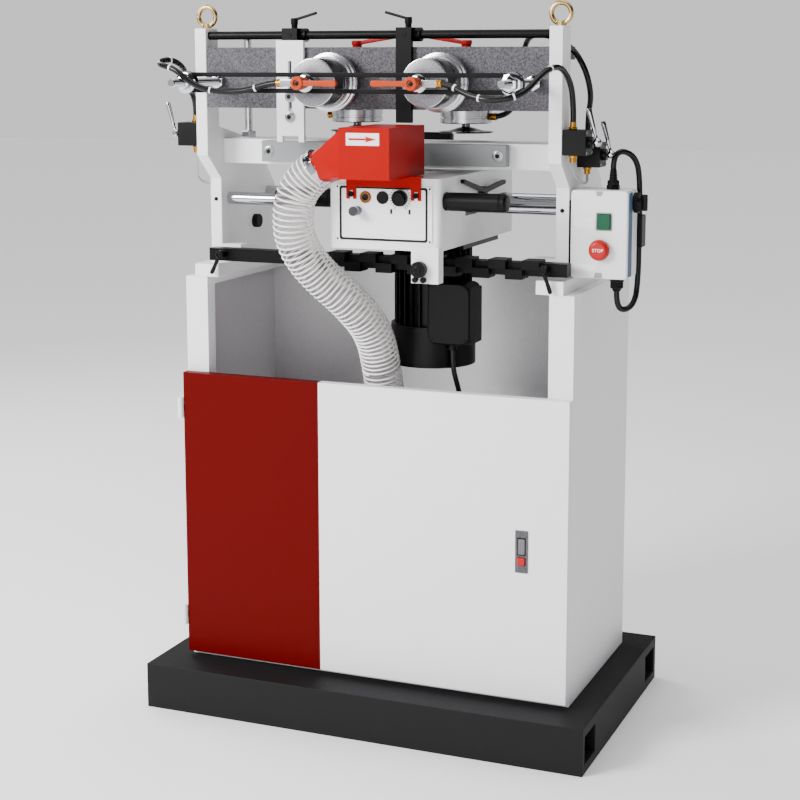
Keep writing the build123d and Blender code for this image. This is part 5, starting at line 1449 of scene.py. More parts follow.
@dataclass
class TopClamps(Assembly):
    """Two air clamps hung from the beam's flange."""

    places: Pair = (-77.0, 150.0)  # X of each
    y: float = -66.0
    can_bottom: float = 1186.0
    foot_z: float = 1168.0
    lever_z: float = 1330.3
    lever: LeverSize = ((11.0, 13.0), (77.0, 12.0))
    port: Pair = (1199.0, 49.5)  # height and distance from the axis
    steps: int = 96
    can: Profile = (
        (0, 88), (8.1, 88), (8.1, 0), (47, 0), (50, 1.6), (50, 9.6), (48.4, 10.2), (48.4, 13.8),
        (50, 14.4), (50, 24.4), (48, 26), (34, 26), (34, 36), (33, 36.6), (33, 39), (34, 39.6),
        (34, 120), (5.8, 120), (5.8, 150), (4.8, 151.5), (0, 151.5),
    )
    foot: Profile = (
        (0, 0), (51.5, 0), (53, 1), (52.6, 2.4), (50, 3), (36, 3.6), (30, 5), (22, 7.6), (14, 10),
        (9, 11), (8, 12), (8, 107.7), (0, 107.7),
    )
    ring: Profile = ((5.6, 5), (6.8, 5), (6.8, 8), (7.3, 8.6), (7.3, 12), (6.4, 13), (5.6, 13))

    def build(self) -> None:
        """Build the cylinders, feet, levers and ports."""
        shop, y = self.shop, self.y
        for side, x in zip(Side, self.places):
            name = side.value
            can = shop.lathe((x, y, self.can_bottom), UP, self.can, self.steps)
            shop.add(f"top_can_{name}", can, TURNED_ALUMINIUM, "frame", "top_clamp_bodies")
            foot = shop.lathe((x, y, self.foot_z), UP, self.foot, self.steps)
            shop.add(f"top_foot_{name}", foot, DARK_CHROME, "top_clamp_feet", "top_clamp_feet")
            shop.lever(
                f"top_clamp_lever_{name}", RED_NYLON, (x, y, self.lever_z), UP,
                (-side.sign, 0, 0), self.lever,
            )
            seat = (x + side.sign * self.port[1], y, self.port[0])
            port = [
                shop.hexagon(seat, side.out, 7.6, 6), shop.lathe(seat, side.out, self.ring, 32)
            ]
            shop.add(f"top_clamp_port_{name}", port, BRASS, "frame")


@dataclass
class SideStops(Assembly):
    """White and black side stops on the stop rod."""

    white_x: float = -165.0
    black_x: float = 70.5
    rod: Pair = (-163.0, 1353.0)  # Y and Z
    plate_top: float = 1343.0
    plate_front: float = -186.3
    black_front: float = -188.3
    screws: Pair = (1198.0, 1237.0)  # Z of each
    screw_radius: float = 8.1
    washer: Profile = ((8, 0), (11.2, 0), (10.8, 1.3), (8, 1.8))
    lever_z: float = 1366.3
    lever: LeverSize = ((7.0, 19.0), (48.0, 13.0))

    def build(self) -> None:
        """Build both stops, their screws and their levers."""
        shop, (y, z) = self.shop, self.rod
        shop.refine(
            "side_stop_white", WHITE_COAT, 0.8,
            ("white_stop_head", BLACK_STEEL, self._on_head),
            ("white_stop_screws", CHROME, self._on_screw),
            level=self.plate_top,
        )
        shop.refine("side_stop_black", BLACK_STEEL, 0.8)
        for number, height in enumerate(self.screws):
            washer = shop.lathe((self.white_x, self.plate_front, height), FRONT, self.washer)
            shop.add(f"white_stop_washer_{number}", washer, DRAWN_STEEL, "side_stop_white")
            head = (self.white_x, self.plate_front - 6, height)
            # Black hexagon on each screw head: painted shade of its hex socket
            socket = shop.hexagon(head, FRONT, 4.6, 0.4)
            shop.add(f"white_stop_socket_{number}", socket, BLACK_NYLON, "side_stop_white")
        stops = (
            ("white", self.white_x, self.plate_front, RIGHT),
            ("black", self.black_x, self.black_front, LEFT),
        )
        for colour, x, front, _ in stops:
            screw = shop.cap_screw((x, front, z), FRONT, 4.0, 1.2)
            shop.add(f"{colour}_stop_set_screw", screw, BLACK_NYLON, f"side_stop_{colour}")
        for colour, x, _, toward in stops:
            shop.lever(
                f"side_stop_lever_{colour}", BLACK_NYLON, (x, y, self.lever_z), UP, toward,
                self.lever,
            )

    def _on_head(self, at: Vector) -> bool:
        """Tell whether a corner lies on the white stop's black head."""
        return at.z > self.plate_top - SNAP

    def _on_screw(self, at: Vector) -> bool:
        """Tell whether a corner lies on one of the white stop's screws."""
        away = min(math.hypot(at.x - self.white_x, at.z - z) for z in self.screws)
        return away < self.screw_radius and at.y < self.plate_front + SNAP


@dataclass
class Carriage(Assembly):
    """Housing with its panel, controls, grips and drive."""

    panel: Pair = (70.0, 1028.0)
    panel_size: Pair = (192.0, 104.0)
    front: float = -285.5
    thickness: float = 2.5
    ink: float = 0.2  # thickness of print
    outline: Pair = (175.0, 100.0)
    line_width: float = 4.5
    bush: Pair = (35.0, 1058.0)
    plug: Pair = (69.0, 1058.0)
    knob: Pair = (104.0, 1058.0)
    plunger: Pair = (19.0, 1033.0)
    follower: Pair = (144.0, 930.0)
    follower_locks: tuple[Pair, Pair] = ((136.0, 910.7), (152.0, 910.7))
    arm_front: float = -290.0
    ticks: int = 21
    tick_inner: float = 17.5
    tick_outer: Pair = (23.5, 21.5)  # a long and a short one
    mark: Pair = (18.0, 25.0)  # beside and below the knob's middle
    mark_size: Pair = (4.5, 9.0)
    grip: Pair = (-255.0, 1052.0)  # Y and Z
    walls: Pair = (-40.0, 180.0)  # X where each grip stands
    bush_profile: Profile = (
        (11, 0), (11, 2.2), (10, 3), (8.4, 3), (8, 2.4), (6.4, 2.4), (6.2, 0.6), (0, 0.6)
    )
    bore_shade_disc: Profile = ((0, 0.7), (6.1, 0.7), (5.6, 1.0), (0, 1.0))
    plug_profile: Profile = ((0, 0), (12, 0), (12, 1.4), (11.2, 2.4), (8, 2.9), (0, 3))
    knob_top: Profile = (
        (0, 8.1), (12.4, 8.1), (12, 13.2), (11, 14.2), (8.6, 14.3), (8, 13.6), (0, 13.4)
    )
    plunger_body: Profile = (
        (0, 0.3), (8.4, 0.3), (8.4, 5), (6.6, 5.6), (6.6, 8), (8.2, 8.6), (8.2, 13), (7.4, 13.8),
        (7.4, 14.2), (0, 14.2),
    )
    follower_pin: Profile = ((0, 0), (6, 0), (6, 53), (5, 54), (0, 54))
    grip_profile: Profile = (
        (0, 0), (15.5, 0), (17, 1.5), (17, 5), (16, 6), (16, 8), (17, 9), (17, 106), (16, 107),
        (16, 109), (17, 110), (17, 116), (14.5, 119.4), (13, 120), (0, 120),
    )

    def build(self) -> None:
        """Build the carriage."""
        shop = self.shop
        shop.refine("carriage_saddle", DRAWN_STEEL, 0.8)
        shop.refine("carriage_housing", WHITE_CASTING, 2.2)
        shop.refine("lock_lever", BLACK_NYLON, 1.5)
        shop.refine("cutter_spindle", DRAWN_STEEL, 0.4)
        shop.refine("motor_shaft", DRAWN_STEEL, 0.4)
        shop.refine("drive_belt", RUBBER, 0.5)
        self._panel()
        self._dial()
        self._knobs()
        y, z = self.grip
        grips = [
            shop.lathe((wall, y, z), side.out, self.grip_profile)
            for side, wall in zip(Side, self.walls)
        ]
        shop.add("carriage_grips", grips, BLACK_NYLON, "carriage", "carriage_handles")

    def _on_panel(self, place: Pair, out: float = 0.0) -> Triple:
        """Give a point on the panel's front, or out of it."""
        return (place[0], self.front - out, place[1])

    def _panel(self) -> None:
        """Build the panel with its printed outline, corner screws, bush and plug."""
        shop, node, (width, height) = self.shop, "carriage_front_panel", self.panel_size
        plate = shop.prism(
            self._on_panel(self.panel, -self.thickness), FRONT, rounded(width, height, 5),
            self.thickness, 0.3,
        )
        shop.add("panel_plate", plate, WHITE_FILM, "carriage", node)
        inside = (size - 2 * self.line_width for size in self.outline)
        outline = shop.prism(
            self._on_panel(self.panel), FRONT, rounded(*self.outline, 5), self.ink
        )
        inner = shop.prism(self._on_panel(self.panel, -1), FRONT, rounded(*inside, 3), 4)
        shop.add("panel_outline", shop.cut(outline, inner), BLACK_INK, "carriage")
        x, z = self.panel
        screws = []
        for a, b in CORNERS:
            corner = (x + a * (width / 2 - 4.5), z + b * (height / 2 - 4))
            screws.append(shop.cap_screw(self._on_panel(corner), FRONT, 1.9, 0.7))
        shop.add("panel_screws", screws, BLACK_STEEL, "carriage")
        bush = shop.lathe(self._on_panel(self.bush), FRONT, self.bush_profile)
        shop.add("panel_bush", bush, BRONZE, "carriage", node)
        # Black disc in the bush's bore: painted shade of the hole
        bore = shop.lathe(self._on_panel(self.bush), FRONT, self.bore_shade_disc, 32)
        shop.add("panel_bush_bore_shade", bore, BLACK_NYLON, "carriage")
        plug = shop.lathe(self._on_panel(self.plug), FRONT, self.plug_profile)
        shop.add("panel_plug", plug, BLACK_NYLON, "carriage", node)

    def _dial(self) -> None:
        """Print the graduation round the depth knob."""
        shop, near, (x, z) = self.shop, self.tick_inner, self.knob
        marks = []
        for number in range(self.ticks):
            turn = math.radians(-60 + 15 * number)
            far = self.tick_outer[0 if number % 5 == 0 else 1]
            marks.append(shop.prism(
                self._on_panel(self.knob), FRONT,
                ((near, -0.6), (far, -0.6), (far, 0.6), (near, 0.6)), self.ink,
                across=(math.cos(turn), 0.0, math.sin(turn)),
            ))
        for side in Side:
            place = self._on_panel((x + side.sign * self.mark[0], z - self.mark[1]))
            marks.append(shop.prism(place, FRONT, rounded(*self.mark_size, 0.6), self.ink))
        shop.add("dial_graduation", marks, BLACK_INK, "carriage")

    def _knobs(self) -> None:
        """Build the depth knob, the plunger and the follower knobs."""
        shop, place = self.shop, self._on_panel
        knob = [
            shop.knurl(place(self.knob, 0.3), FRONT, 15, 8, 40, 0.45),
            shop.lathe(place(self.knob, 0.1), FRONT, self.knob_top),
            shop.lathe(place(self.knob, 0.3), BACK, ((0, 0), (4, 0), (4, 10), (0, 10)), 24),
        ]
        shop.add("depth_knob_shape", knob, BLACK_NYLON, "depth_knob", "depth_knob")
        plunger = [
            shop.knurl(place(self.plunger, 14), FRONT, 9, 9, 28, 0.5),
            shop.lathe(place(self.plunger), FRONT, self.plunger_body),
            shop.lathe(place(self.plunger, 0.3), BACK, ((0, 0), (5, 0), (5, 10), (0, 10)), 24),
        ]
        shop.add(
            "locking_plunger_shape", plunger, DARK_CHROME, "locking_plunger", "locking_plunger"
        )
        x, z = self.follower
        seat = (x, self.arm_front - 0.3, z)
        follower = [
            shop.knurl(seat, FRONT, 15, 13.4, 30, 0.7),
            shop.lathe(seat, BACK, self.follower_pin, 32),
            shop.cap_screw((x, self.arm_front - 13.6, z), FRONT, 7, 1.4),
        ]
        shop.add("follower_knob_shape", follower, BLACK_NYLON, "follower_knob", "follower_knob")
        locks = [
            shop.knurl((x, self.arm_front, z), FRONT, 5.5, 8, 16, 0.5)
            for x, z in self.follower_locks
        ]
        shop.add("follower_lock", locks, BLACK_NYLON, "carriage")


@dataclass
class ChipHood(Assembly):
    """Red sheet hood with its spout, hose clamp, label plate and tab screws."""

    spout_end: Triple = (-48.0, -319.0, 1107.0)
    spout_axis: Triple = (-0.791, 0.0, -0.6115)
    band: Pair = (34.2, 37.6)  # inner and outer radius
    front: float = -376.0
    label: Pair = (69.0, 1168.0)
    label_size: Triple = (64.0, 22.0, 0.5)  # width, height and thickness
    arrow: Profile = ((-27, -1.9), (7, -1.9), (4, -5.6), (27, 0), (4, 5.6), (7, 1.9), (-27, 1.9))
    tabs: Pair = (7.0, 135.0)  # X of each
    tab_y: float = -287.5
    tab_z: float = 1063.0

    def build(self) -> None:
        """Build the hood."""
        shop = self.shop
        shop.refine("chip_hood", RED_ENAMEL, 0.5, ("hose_clamp", CHROME, self._on_band))
        self._worm()
        (x, z), (width, height, thickness) = self.label, self.label_size
        label = shop.prism(
            (x, self.front, z), FRONT, rounded(width, height, 0.8), thickness, 0.15
        )
        shop.add("hood_label", label, WHITE_FILM, "carriage")
        arrow = shop.prism((x, self.front - thickness, z), FRONT, self.arrow, 0.15)
        shop.add("hood_arrow", arrow, RED_INK, "carriage")
        screws = [
            shop.cap_screw((tab, self.tab_y, self.tab_z), FRONT, 5.2, 4.0) for tab in self.tabs
        ]
        shop.add("tab_screws", screws, BLACK_STEEL, "carriage")

    def _on_band(self, at: Vector) -> bool:
        """Tell whether a corner lies on the hose clamp's band."""
        away, axis = at - Vector(self.spout_end), Vector(self.spout_axis)
        return self.band[0] < (away - away.dot(axis) * axis).length < self.band[1]

    def _worm(self) -> None:
        """Build the hose clamp's worm housing and screw."""
        shop, axis, side = self.shop, Vector(self.spout_axis), Vector(FRONT)
        over = axis.cross(side)
        middle = Vector(self.spout_end) - axis * 7 + side * 37.5
        worm = [
            shop.prism(middle, BACK, rounded(13, 20, 3), 6.5, 0.8, across=axis),
            shop.cap_screw(middle + side * 3.2 + over * 9, over, 4.2, 7),
        ]
        shop.add("hose_clamp_worm", worm, DRAWN_STEEL, "carriage")


@dataclass
class Motor(Assembly):
    """Finned motor under the carriage."""

    box: Pair = (140.5, 824.5)
    box_size: Pair = (85.0, 117.0)
    box_front: float = -125.0
    gland: Triple = (136.5, -98.5, 766.0)
    gland_cap: Profile = ((0, 6), (9, 6), (9, 12), (7, 16), (5.2, 16))
    fan: Triple = (70.0, -31.0, 712.0)
    slots: tuple[float, ...] = (20.0, 35.0, 50.0, 65.0)  # inner radius of each ring

    def build(self) -> None:
        """Build the motor with its terminal box, gland and fan slots."""
        shop = self.shop
        shop.refine("motor_body", BLACK_CASTING, 1.0)
        (x, z), (width, height), front = self.box, self.box_size, self.box_front
        box = [
            shop.prism((x, front + 58, z), FRONT, rounded(width - 1, height, 15), 56, 2.0),
            shop.prism((x, front + 1, z), FRONT, rounded(width + 2, height + 3, 18), 11, 5.0, 4),
        ]
        for a, b in CORNERS:
            corner = (x + a * (width / 2 - 9), front - 9.6, z + b * (height / 2 - 9))
            box.append(shop.cap_screw(corner, FRONT, 3, 1.6))
        shop.add("terminal_box_lid", box, BLACK_CASTING, "carriage")
        gland = [
            shop.hexagon(self.gland, DOWN, 11.5, 6),
            shop.lathe(self.gland, DOWN, self.gland_cap, 32),
        ]
        shop.add("motor_gland", gland, BLACK_NYLON, "carriage")
        rings = []
        for radius in self.slots:
            ring = ((radius, 0), (radius + 6, 0), (radius + 6, 0.6), (radius, 0.6))
            rings.append(shop.lathe(self.fan, DOWN, ring))
        shop.add("fan_cover_slots", rings, BLACK_NYLON, "carriage")


@dataclass
class ControlBox(Assembly):
    """Two-shell enclosure on the right leg with its buttons, switch and glands."""

    middle: Pair = (434.0, 988.5)
    size: Pair = (108.0, 163.0)
    front: float = -131.0
    seam: Pair = (-104.0, -97.0)  # the gasket's front and back
    back: float = -61.0
    start: Pair = (443.5, 1013.0)
    start_half: Pair = (12.5, 14.0)
    start_y: Pair = (-136.0, -122.3)  # front and back
    stop: Pair = (437.0, 961.0)
    switch: Triple = (488.3, -84.0, 1046.0)
    low_gland: Triple = (460.0, -95.0, 907.0)
    high_gland: Triple = (450.0, -95.0, 1070.0)
    ribs: int = 5
    # At the top and at the bottom
    clips: tuple[Profile, Profile] = (
        ((-7, 0), (-4, -9), (4, -9), (7, 0)), ((-8, 0), (8, 0), (6, 10), (-6, 10))
    )
    # X, Z, width and height of each
    plates: tuple[tuple[float, ...], ...] = ((406, 1010, 38, 20), (409, 927, 42, 12))
    # X, Y, Z and bevel of the bracket and of the cable entry
    mounts: tuple[tuple[Pair, Pair, Pair, float], ...] = (
        ((375, 383), (-125, -61), (927, 1050), 0.8), ((471, 497), (-61, -31), (960, 1020), 1.5)
    )
    word: Triple = (8.5, 0.35, 17.1)  # height, half thickness and place before the cover
    collar: Profile = ((8.2, 0), (17, 0), (17, 1.6), (15.5, 2.4), (8.2, 2.4))
    mushroom: Profile = (
        (0, -16), (8, -16), (8, 6.9), (17.4, 6.9), (17.4, 4.3), (18.4, 4.3), (19.2, 5.4),
        (19.5, 8), (18.8, 12), (17, 14.8), (14.5, 16.4), (12, 17), (0, 17.2),
    )
    dome: Profile = ((0, 9.1), (17, 9.1), (16, 14), (12, 16), (0, 16.4))
    seal: Profile = ((0, 20), (9.5, 20), (7, 26), (5.6, 26))

    def build(self) -> None:
        """Build the control box."""
        self._shells()
        self._trim()
        self._buttons()
        self._glands()

    def _start_hole(self, play: float, back: float) -> Object:
        """Make the tool that cuts the start button's hole.

        Args:
            play: Room round the button.
            back: Bottom of the hole.

        Returns:
            The tool.
        """
        (x, z), (width, height) = self.start, self.start_half
        width, height = width + play, height + play
        return self.shop.block(
            (x - width, x + width), (-140, back), (z - height, z + height), 0.1
        )

    def _shells(self) -> None:
        """Build cover, gasket, rear shell, bracket and cable entry."""
        shop, (x, z), (width, height) = self.shop, self.middle, self.size
        outline, (seam, rear) = rounded(width, height, 7), self.seam
        cover = shop.prism((x, seam, z), FRONT, outline, seam - self.front, 3.0, 3)
        shop.cut(cover, self._start_hole(0.3, -119))
        bore = ((0, 0), (8.1, 0), (8.1, 30), (0, 30))
        shop.cut(cover, shop.lathe((self.stop[0], -145, self.stop[1]), BACK, bore, 40))
        shop.add("control_cover", shop.smooth(cover), POLYCARBONATE, "frame", "control_box")
        gasket = shop.prism(
            (x, rear, z), FRONT, rounded(width - 2.4, height - 2.4, 6), rear - seam, 0.4
        )
        shop.add("control_gasket", gasket, BLUE_GASKET, "frame", "control_box")
        shell = shop.prism((x, self.back, z), FRONT, outline, self.back - rear, 2.4, 3)
        shop.add("control_rear_shell", shell, POLYCARBONATE, "frame", "control_box")
        mounts = [shop.block(*limits) for limits in self.mounts]
        shop.add("control_bracket_entry", mounts, BLACK_NYLON, "frame", "control_box")

    def _trim(self) -> None:
        """Build the lid clips, the start button's frame, the bare plates and the seal strip."""
        shop, front, (x, z), (width, height) = self.shop, self.front, self.middle, self.size
        clips = [
            shop.prism((x, front + 0.2, z + end * (height / 2 - 1.5)), FRONT, outline, depth, 0.3)
            for outline, end, depth in zip(self.clips, (1, -1), (1.0, 1.2))
        ]
        shop.add("control_lid_clips", clips, GREY_CLIP, "frame")
        rim = shop.prism(
            (self.start[0], front, self.start[1]), FRONT, rounded(31, 34, 2), 1.2, 0.3
        )
        shop.add("start_frame", shop.cut(rim, self._start_hole(0.4, -120)), GREY_CLIP, "frame")
        plates = [
            shop.prism((left, front, level), FRONT, rounded(wide, high, 1), 0.4, 0.1)
            for left, level, wide, high in self.plates
        ]
        shop.add("control_plates", plates, WHITE_FILM, "frame")
        strip = shop.prism(
            (x + width / 2 - 0.2, -112.0, z), RIGHT, rounded(24, height - 8, 3), 0.8, 0.2,
            across=BACK,
        )
        shop.add("control_seal_strip", strip, BLUE_GASKET, "frame")

    def _buttons(self) -> None:
        """Build the start button, the stop mushroom and the main switch."""
        shop, (x, z), (width, height) = self.shop, self.start, self.start_half
        start = shop.block((x - width, x + width), self.start_y, (z - height, z + height), 1.4, 3)
        shop.add("start_button_shape", start, GREEN_CAP, "start_button", "start_button")
        x, z = self.stop
        collar = shop.lathe((x, self.front, z), FRONT, self.collar)
        shop.add("stop_collar", collar, GREY_CLIP, "frame")
        stop = shop.lathe((x, self.front, z), FRONT, self.mushroom, 72)
        shop.add("stop_button_shape", stop, RED_CAP, "stop_button", "stop_button")
        shop.add("stop_word", self._word(), WHITE_FILM, "stop_button")
        x, y, z = self.switch
        switch = [
            shop.knurl(self.switch, RIGHT, 19, 9, 36, 0.5),
            shop.lathe(self.switch, RIGHT, self.dome),
            shop.block((x + 13.7, x + 24), (y - 4.5, y + 4.5), (z - 15, z + 15), 1.6, 3),
            shop.lathe(self.switch, LEFT, ((0, 0), (5, 0), (5, 12), (0, 12)), 32),
        ]
        shop.add("main_switch_shape", switch, BLACK_NYLON, "main_switch", "main_switch")

    def _word(self) -> Object:
        """Make the plain word on the stop button.

        Returns:
            The word as a mesh.
        """
        size, half, out = self.word
        word = self.shop.start(bpy.ops.object.text_add)
        word.data.body = "STOP"
        word.data.size = size * MM
        word.data.align_x, word.data.align_y = "CENTER", "CENTER"
        word.data.extrude = half * MM
        word.data.space_character = 1.05
        self.shop.pick(word)
        bpy.ops.object.convert(target="MESH")
        place = Vector((self.stop[0], self.front - out, self.stop[1])) * MM
        turn = Matrix.Rotation(math.radians(90), 4, "X")
        word.matrix_world = Matrix.Translation(place) @ turn
        return self.shop.settle(word)

    def _glands(self) -> None:
        """Build the ribbed cable glands."""
        shop = self.shop
        ribs = []
        for number in range(self.ribs):
            crest, root, rise = 8.4 - 0.5 * number, 6.9 - 0.4 * number, 4.4 * number
            ribs += [(crest, 16 + rise), (crest, 18.4 + rise), (root, 18.8 + rise),
                     (root, 20 + rise)]
        low, high = Vector(self.low_gland), Vector(self.high_gland)
        glands = [
            shop.hexagon(low, DOWN, 14, 8),
            shop.knurl(low + 7.5 * Vector(DOWN), DOWN, 12, 13, 16, 0.8),
            shop.lathe(low, DOWN, self.seal, 32),
            shop.hexagon(high, UP, 13, 8),
            shop.knurl(high + 7.5 * Vector(UP), UP, 11, 9, 16, 0.8),
            shop.lathe(high, UP, ((0, 15), *ribs, (5.6, 40), (0, 40)), 32),
        ]
        shop.add("control_glands", glands, BLACK_NYLON, "frame", "control_box")


@dataclass
class AirValves(Assembly):
    """Three hand-lever valves on the frames' outer faces."""

    # Name, side, Y and Z of each
    places: tuple[tuple[str, Side, float, float], ...] = (
        ("left", Side.LEFT, -153.0, 1161.0),
        ("right_front", Side.RIGHT, -153.0, 1158.0),
        ("right_rear", Side.RIGHT, -57.0, 1131.0),
    )
    fitting_x: float = 389.0
    fitting_radius: float = 6.3
    end_x: float = 419.0
    screw: Pair = (17.0, 18.0)  # from a valve's middle along Y and Z
    ball_x: float = 435.3
    ball: float = 8.0
    half: float = 23.0
    lever: Pair = (62.0, 16.0)  # length, and lean in degrees
    pin: Profile = ((0, 0), (2.6, 0), (3, 0.4), (3, 17.6), (2.6, 18), (0, 18))

    def build(self) -> None:
        """Build the valve blocks, fittings and levers."""
        self.shop.refine(
            "air_valves", BLACK_ANODISED, 0.8, ("valve_fittings", BRASS, self._on_fitting)
        )
        for name, side, y, z in self.places:
            self._trim(name, side, y, z)
            self._lever(name, (side.sign * self.ball_x, y, z))

    def _on_fitting(self, at: Vector) -> bool:
        """Tell whether a corner lies on a fitting."""
        return any(
            math.hypot(at.x - side.sign * self.fitting_x, at.y - y) < self.fitting_radius
            and abs(at.z - z) > self.half - SNAP
            for _, side, y, z in self.places
        )

    def _trim(self, name: str, side: Side, y: float, z: float) -> None:
        """Put hexagons on a valve's fittings and screws in its end.

        Args:
            name: Valve name.
            side: Frame that carries it.
            y: Depth.
            z: Height.
        """
        shop, x = self.shop, side.sign * self.fitting_x
        nuts = [
            shop.hexagon((x, y, z + self.half), UP, 8.4, 5),
            shop.hexagon((x, y, z - self.half), DOWN, 8.4, 5),
        ]
        shop.add(f"valve_{name}_nuts", nuts, BRASS, "frame")
        screws = []
        for a, b in CORNERS:
            place = (side.sign * self.end_x, y + a * self.screw[0], z + b * self.screw[1])
            screws.append(shop.cap_screw(place, side.out, 2.4, 1.6))
        shop.add(f"valve_{name}_screws", screws, DRAWN_STEEL, "frame")

    def _lever(self, name: str, place: Triple) -> None:
        """Build one lever: ball, pin and flared grip.

        Args:
            name: Valve name.
            place: Middle of the ball.
        """
        shop, node, (x, y, z) = self.shop, f"valve_lever_{name}", place
        lean = math.radians(self.lever[1])
        reach = self.lever[0] / math.cos(lean)
        turns = [math.radians(degrees) for degrees in range(-90, 61, 15)]
        profile = (
            *((self.ball * math.cos(turn), self.ball * math.sin(turn)) for turn in turns),
            (3.0, 8.6), (2.8, 16), (3.6, 18), (3.9, 30), (4.9, reach - 9), (5.0, reach - 4),
            (4.2, reach - 1), (2.4, reach), (0, reach + 0.2),
        )
        axis = Vector((-math.tan(lean), 0, 1)).normalized()
        pieces = [
            shop.lathe(place, axis, profile, 36), shop.lathe((x, y - 9, z), BACK, self.pin, 24)
        ]
        shop.add(f"{node}_shape", pieces, CHROME, node, node)


@dataclass
class TemplateLevers(Assembly):
    """Clamp levers at the template bar's ends."""

    studs: tuple[Pair, Pair] = ((-318.0, -60.0), (348.0, -73.0))  # X, and lean in degrees
    foot: float = -176.3
    height: float = 927.0
    lever: LeverSize = ((8.0, 24.0), (46.0, -7.0))

    def build(self) -> None:
        """Build both levers."""
        for side, (x, lean) in zip(Side, self.studs):
            turn = math.radians(lean)
            self.shop.lever(
                f"template_lever_{side.value}", BLACK_NYLON, (x, self.foot, self.height), FRONT,
                (side.sign * math.cos(turn), 0.0, math.sin(turn)), self.lever,
            )


DUST_HOSE = Route("dust_hose_route", 38.5, (
    (-48.0, -319.0, 1107.0), (-83.6, -319.0, 1079.5), (-98.0, -319.0, 1030.0),
    (-103.0, -300.0, 970.0), (-80.0, -262.0, 912.0), (-29.0, -218.0, 852.0), (0.0, -168.0, 790.0),
    (2.0, -134.0, 715.0), (4.0, -114.0, 633.0), (4.0, -94.0, 566.0), (3.0, -60.0, 507.0),
    (2.0, -12.0, 459.0), (2.0, 47.0, 425.0), (2.0, 112.0, 408.0), (2.0, 172.0, 408.0),
))
MOTOR_CABLE = Route("motor_cable_route", 5.0, (
    (136.5, -98.5, 750.0), (136.5, -98.5, 716.0), (146.0, -97.0, 680.0), (158.0, -88.0, 624.0),
    (176.0, -56.0, 572.0), (204.0, 0.0, 530.0), (228.0, 62.0, 508.0), (235.0, 125.0, 505.0),
    (235.0, 187.0, 505.0),
))
CONTROL_CABLES = (
    Route("control_cable_low", 5.5, (
        (460.0, -95.0, 881.0), (460.0, -95.0, 858.0), (469.0, -86.0, 843.0),
        (484.0, -66.0, 851.0), (488.0, -46.0, 884.0), (488.0, -46.0, 960.0),
    )),
    Route("control_cable_high", 5.5, (
        (450.0, -95.0, 1110.0), (450.0, -95.0, 1130.0), (463.0, -86.0, 1142.0),
        (482.0, -60.0, 1128.0), (488.0, -46.0, 1090.0), (488.0, -46.0, 1020.0),
    )),
)
TOP_CLAMP_HOSE = Route("top_clamp_hose", 5.5, (
    (200.0, -66.0, 1199.0), (220.0, -66.0, 1199.0), (232.0, -30.0, 1212.0), (234.0, 4.0, 1258.0),
    (237.0, 12.0, 1312.0), (256.0, -14.0, 1352.0), (308.0, -58.0, 1353.0), (366.0, -96.0, 1332.0),
    (396.0, -102.0, 1290.0), (404.0, -88.0, 1242.0), (389.0, -57.0, 1204.0),
    (389.0, -57.0, 1168.0),
))
CLEAR_TUBES = (
    Route("clear_tube_right", 2.5, (
        (389.0, -153.0, 1121.0), (389.0, -153.0, 1104.0), (396.0, -126.0, 1084.0),
        (397.0, -86.0, 1079.0), (389.0, -57.0, 1086.0), (389.0, -57.0, 1094.0),
    )),
    Route("clear_tube_left", 2.5, (
        (-389.0, -153.0, 1124.0), (-389.0, -153.0, 1098.0), (-392.0, -146.0, 1072.0),
        (-386.0, -118.0, 1060.0), (-375.0, -118.0, 1060.0),
    )),
)
FRONT_HOSES = (
    Route("front_clamp_hose_left", 5.5, (
        (-117.0, -320.0, 1265.0), (-139.0, -320.0, 1265.0), (-185.0, -326.0, 1250.0),
        (-240.0, -332.0, 1247.0), (-290.0, -340.0, 1260.0), (-325.0, -345.0, 1291.0),
        (-362.0, -334.0, 1297.0), (-376.0, -312.0, 1304.0), (-366.0, -288.0, 1308.0),
        (-358.0, -258.0, 1296.0), (-372.0, -218.0, 1276.0), (-386.0, -184.0, 1252.0),
        (-389.0, -153.0, 1226.0), (-389.0, -153.0, 1198.0),
    )),
    Route("front_clamp_hose_right", 5.5, (
        (189.0, -320.0, 1265.0), (211.0, -320.0, 1265.0), (250.0, -326.0, 1244.0),
        (300.0, -334.0, 1236.0), (348.0, -320.0, 1246.0), (368.0, -275.0, 1284.0),
        (380.0, -215.0, 1298.0), (388.0, -172.0, 1270.0), (389.0, -153.0, 1230.0),
        (389.0, -153.0, 1195.0),
    )),
)


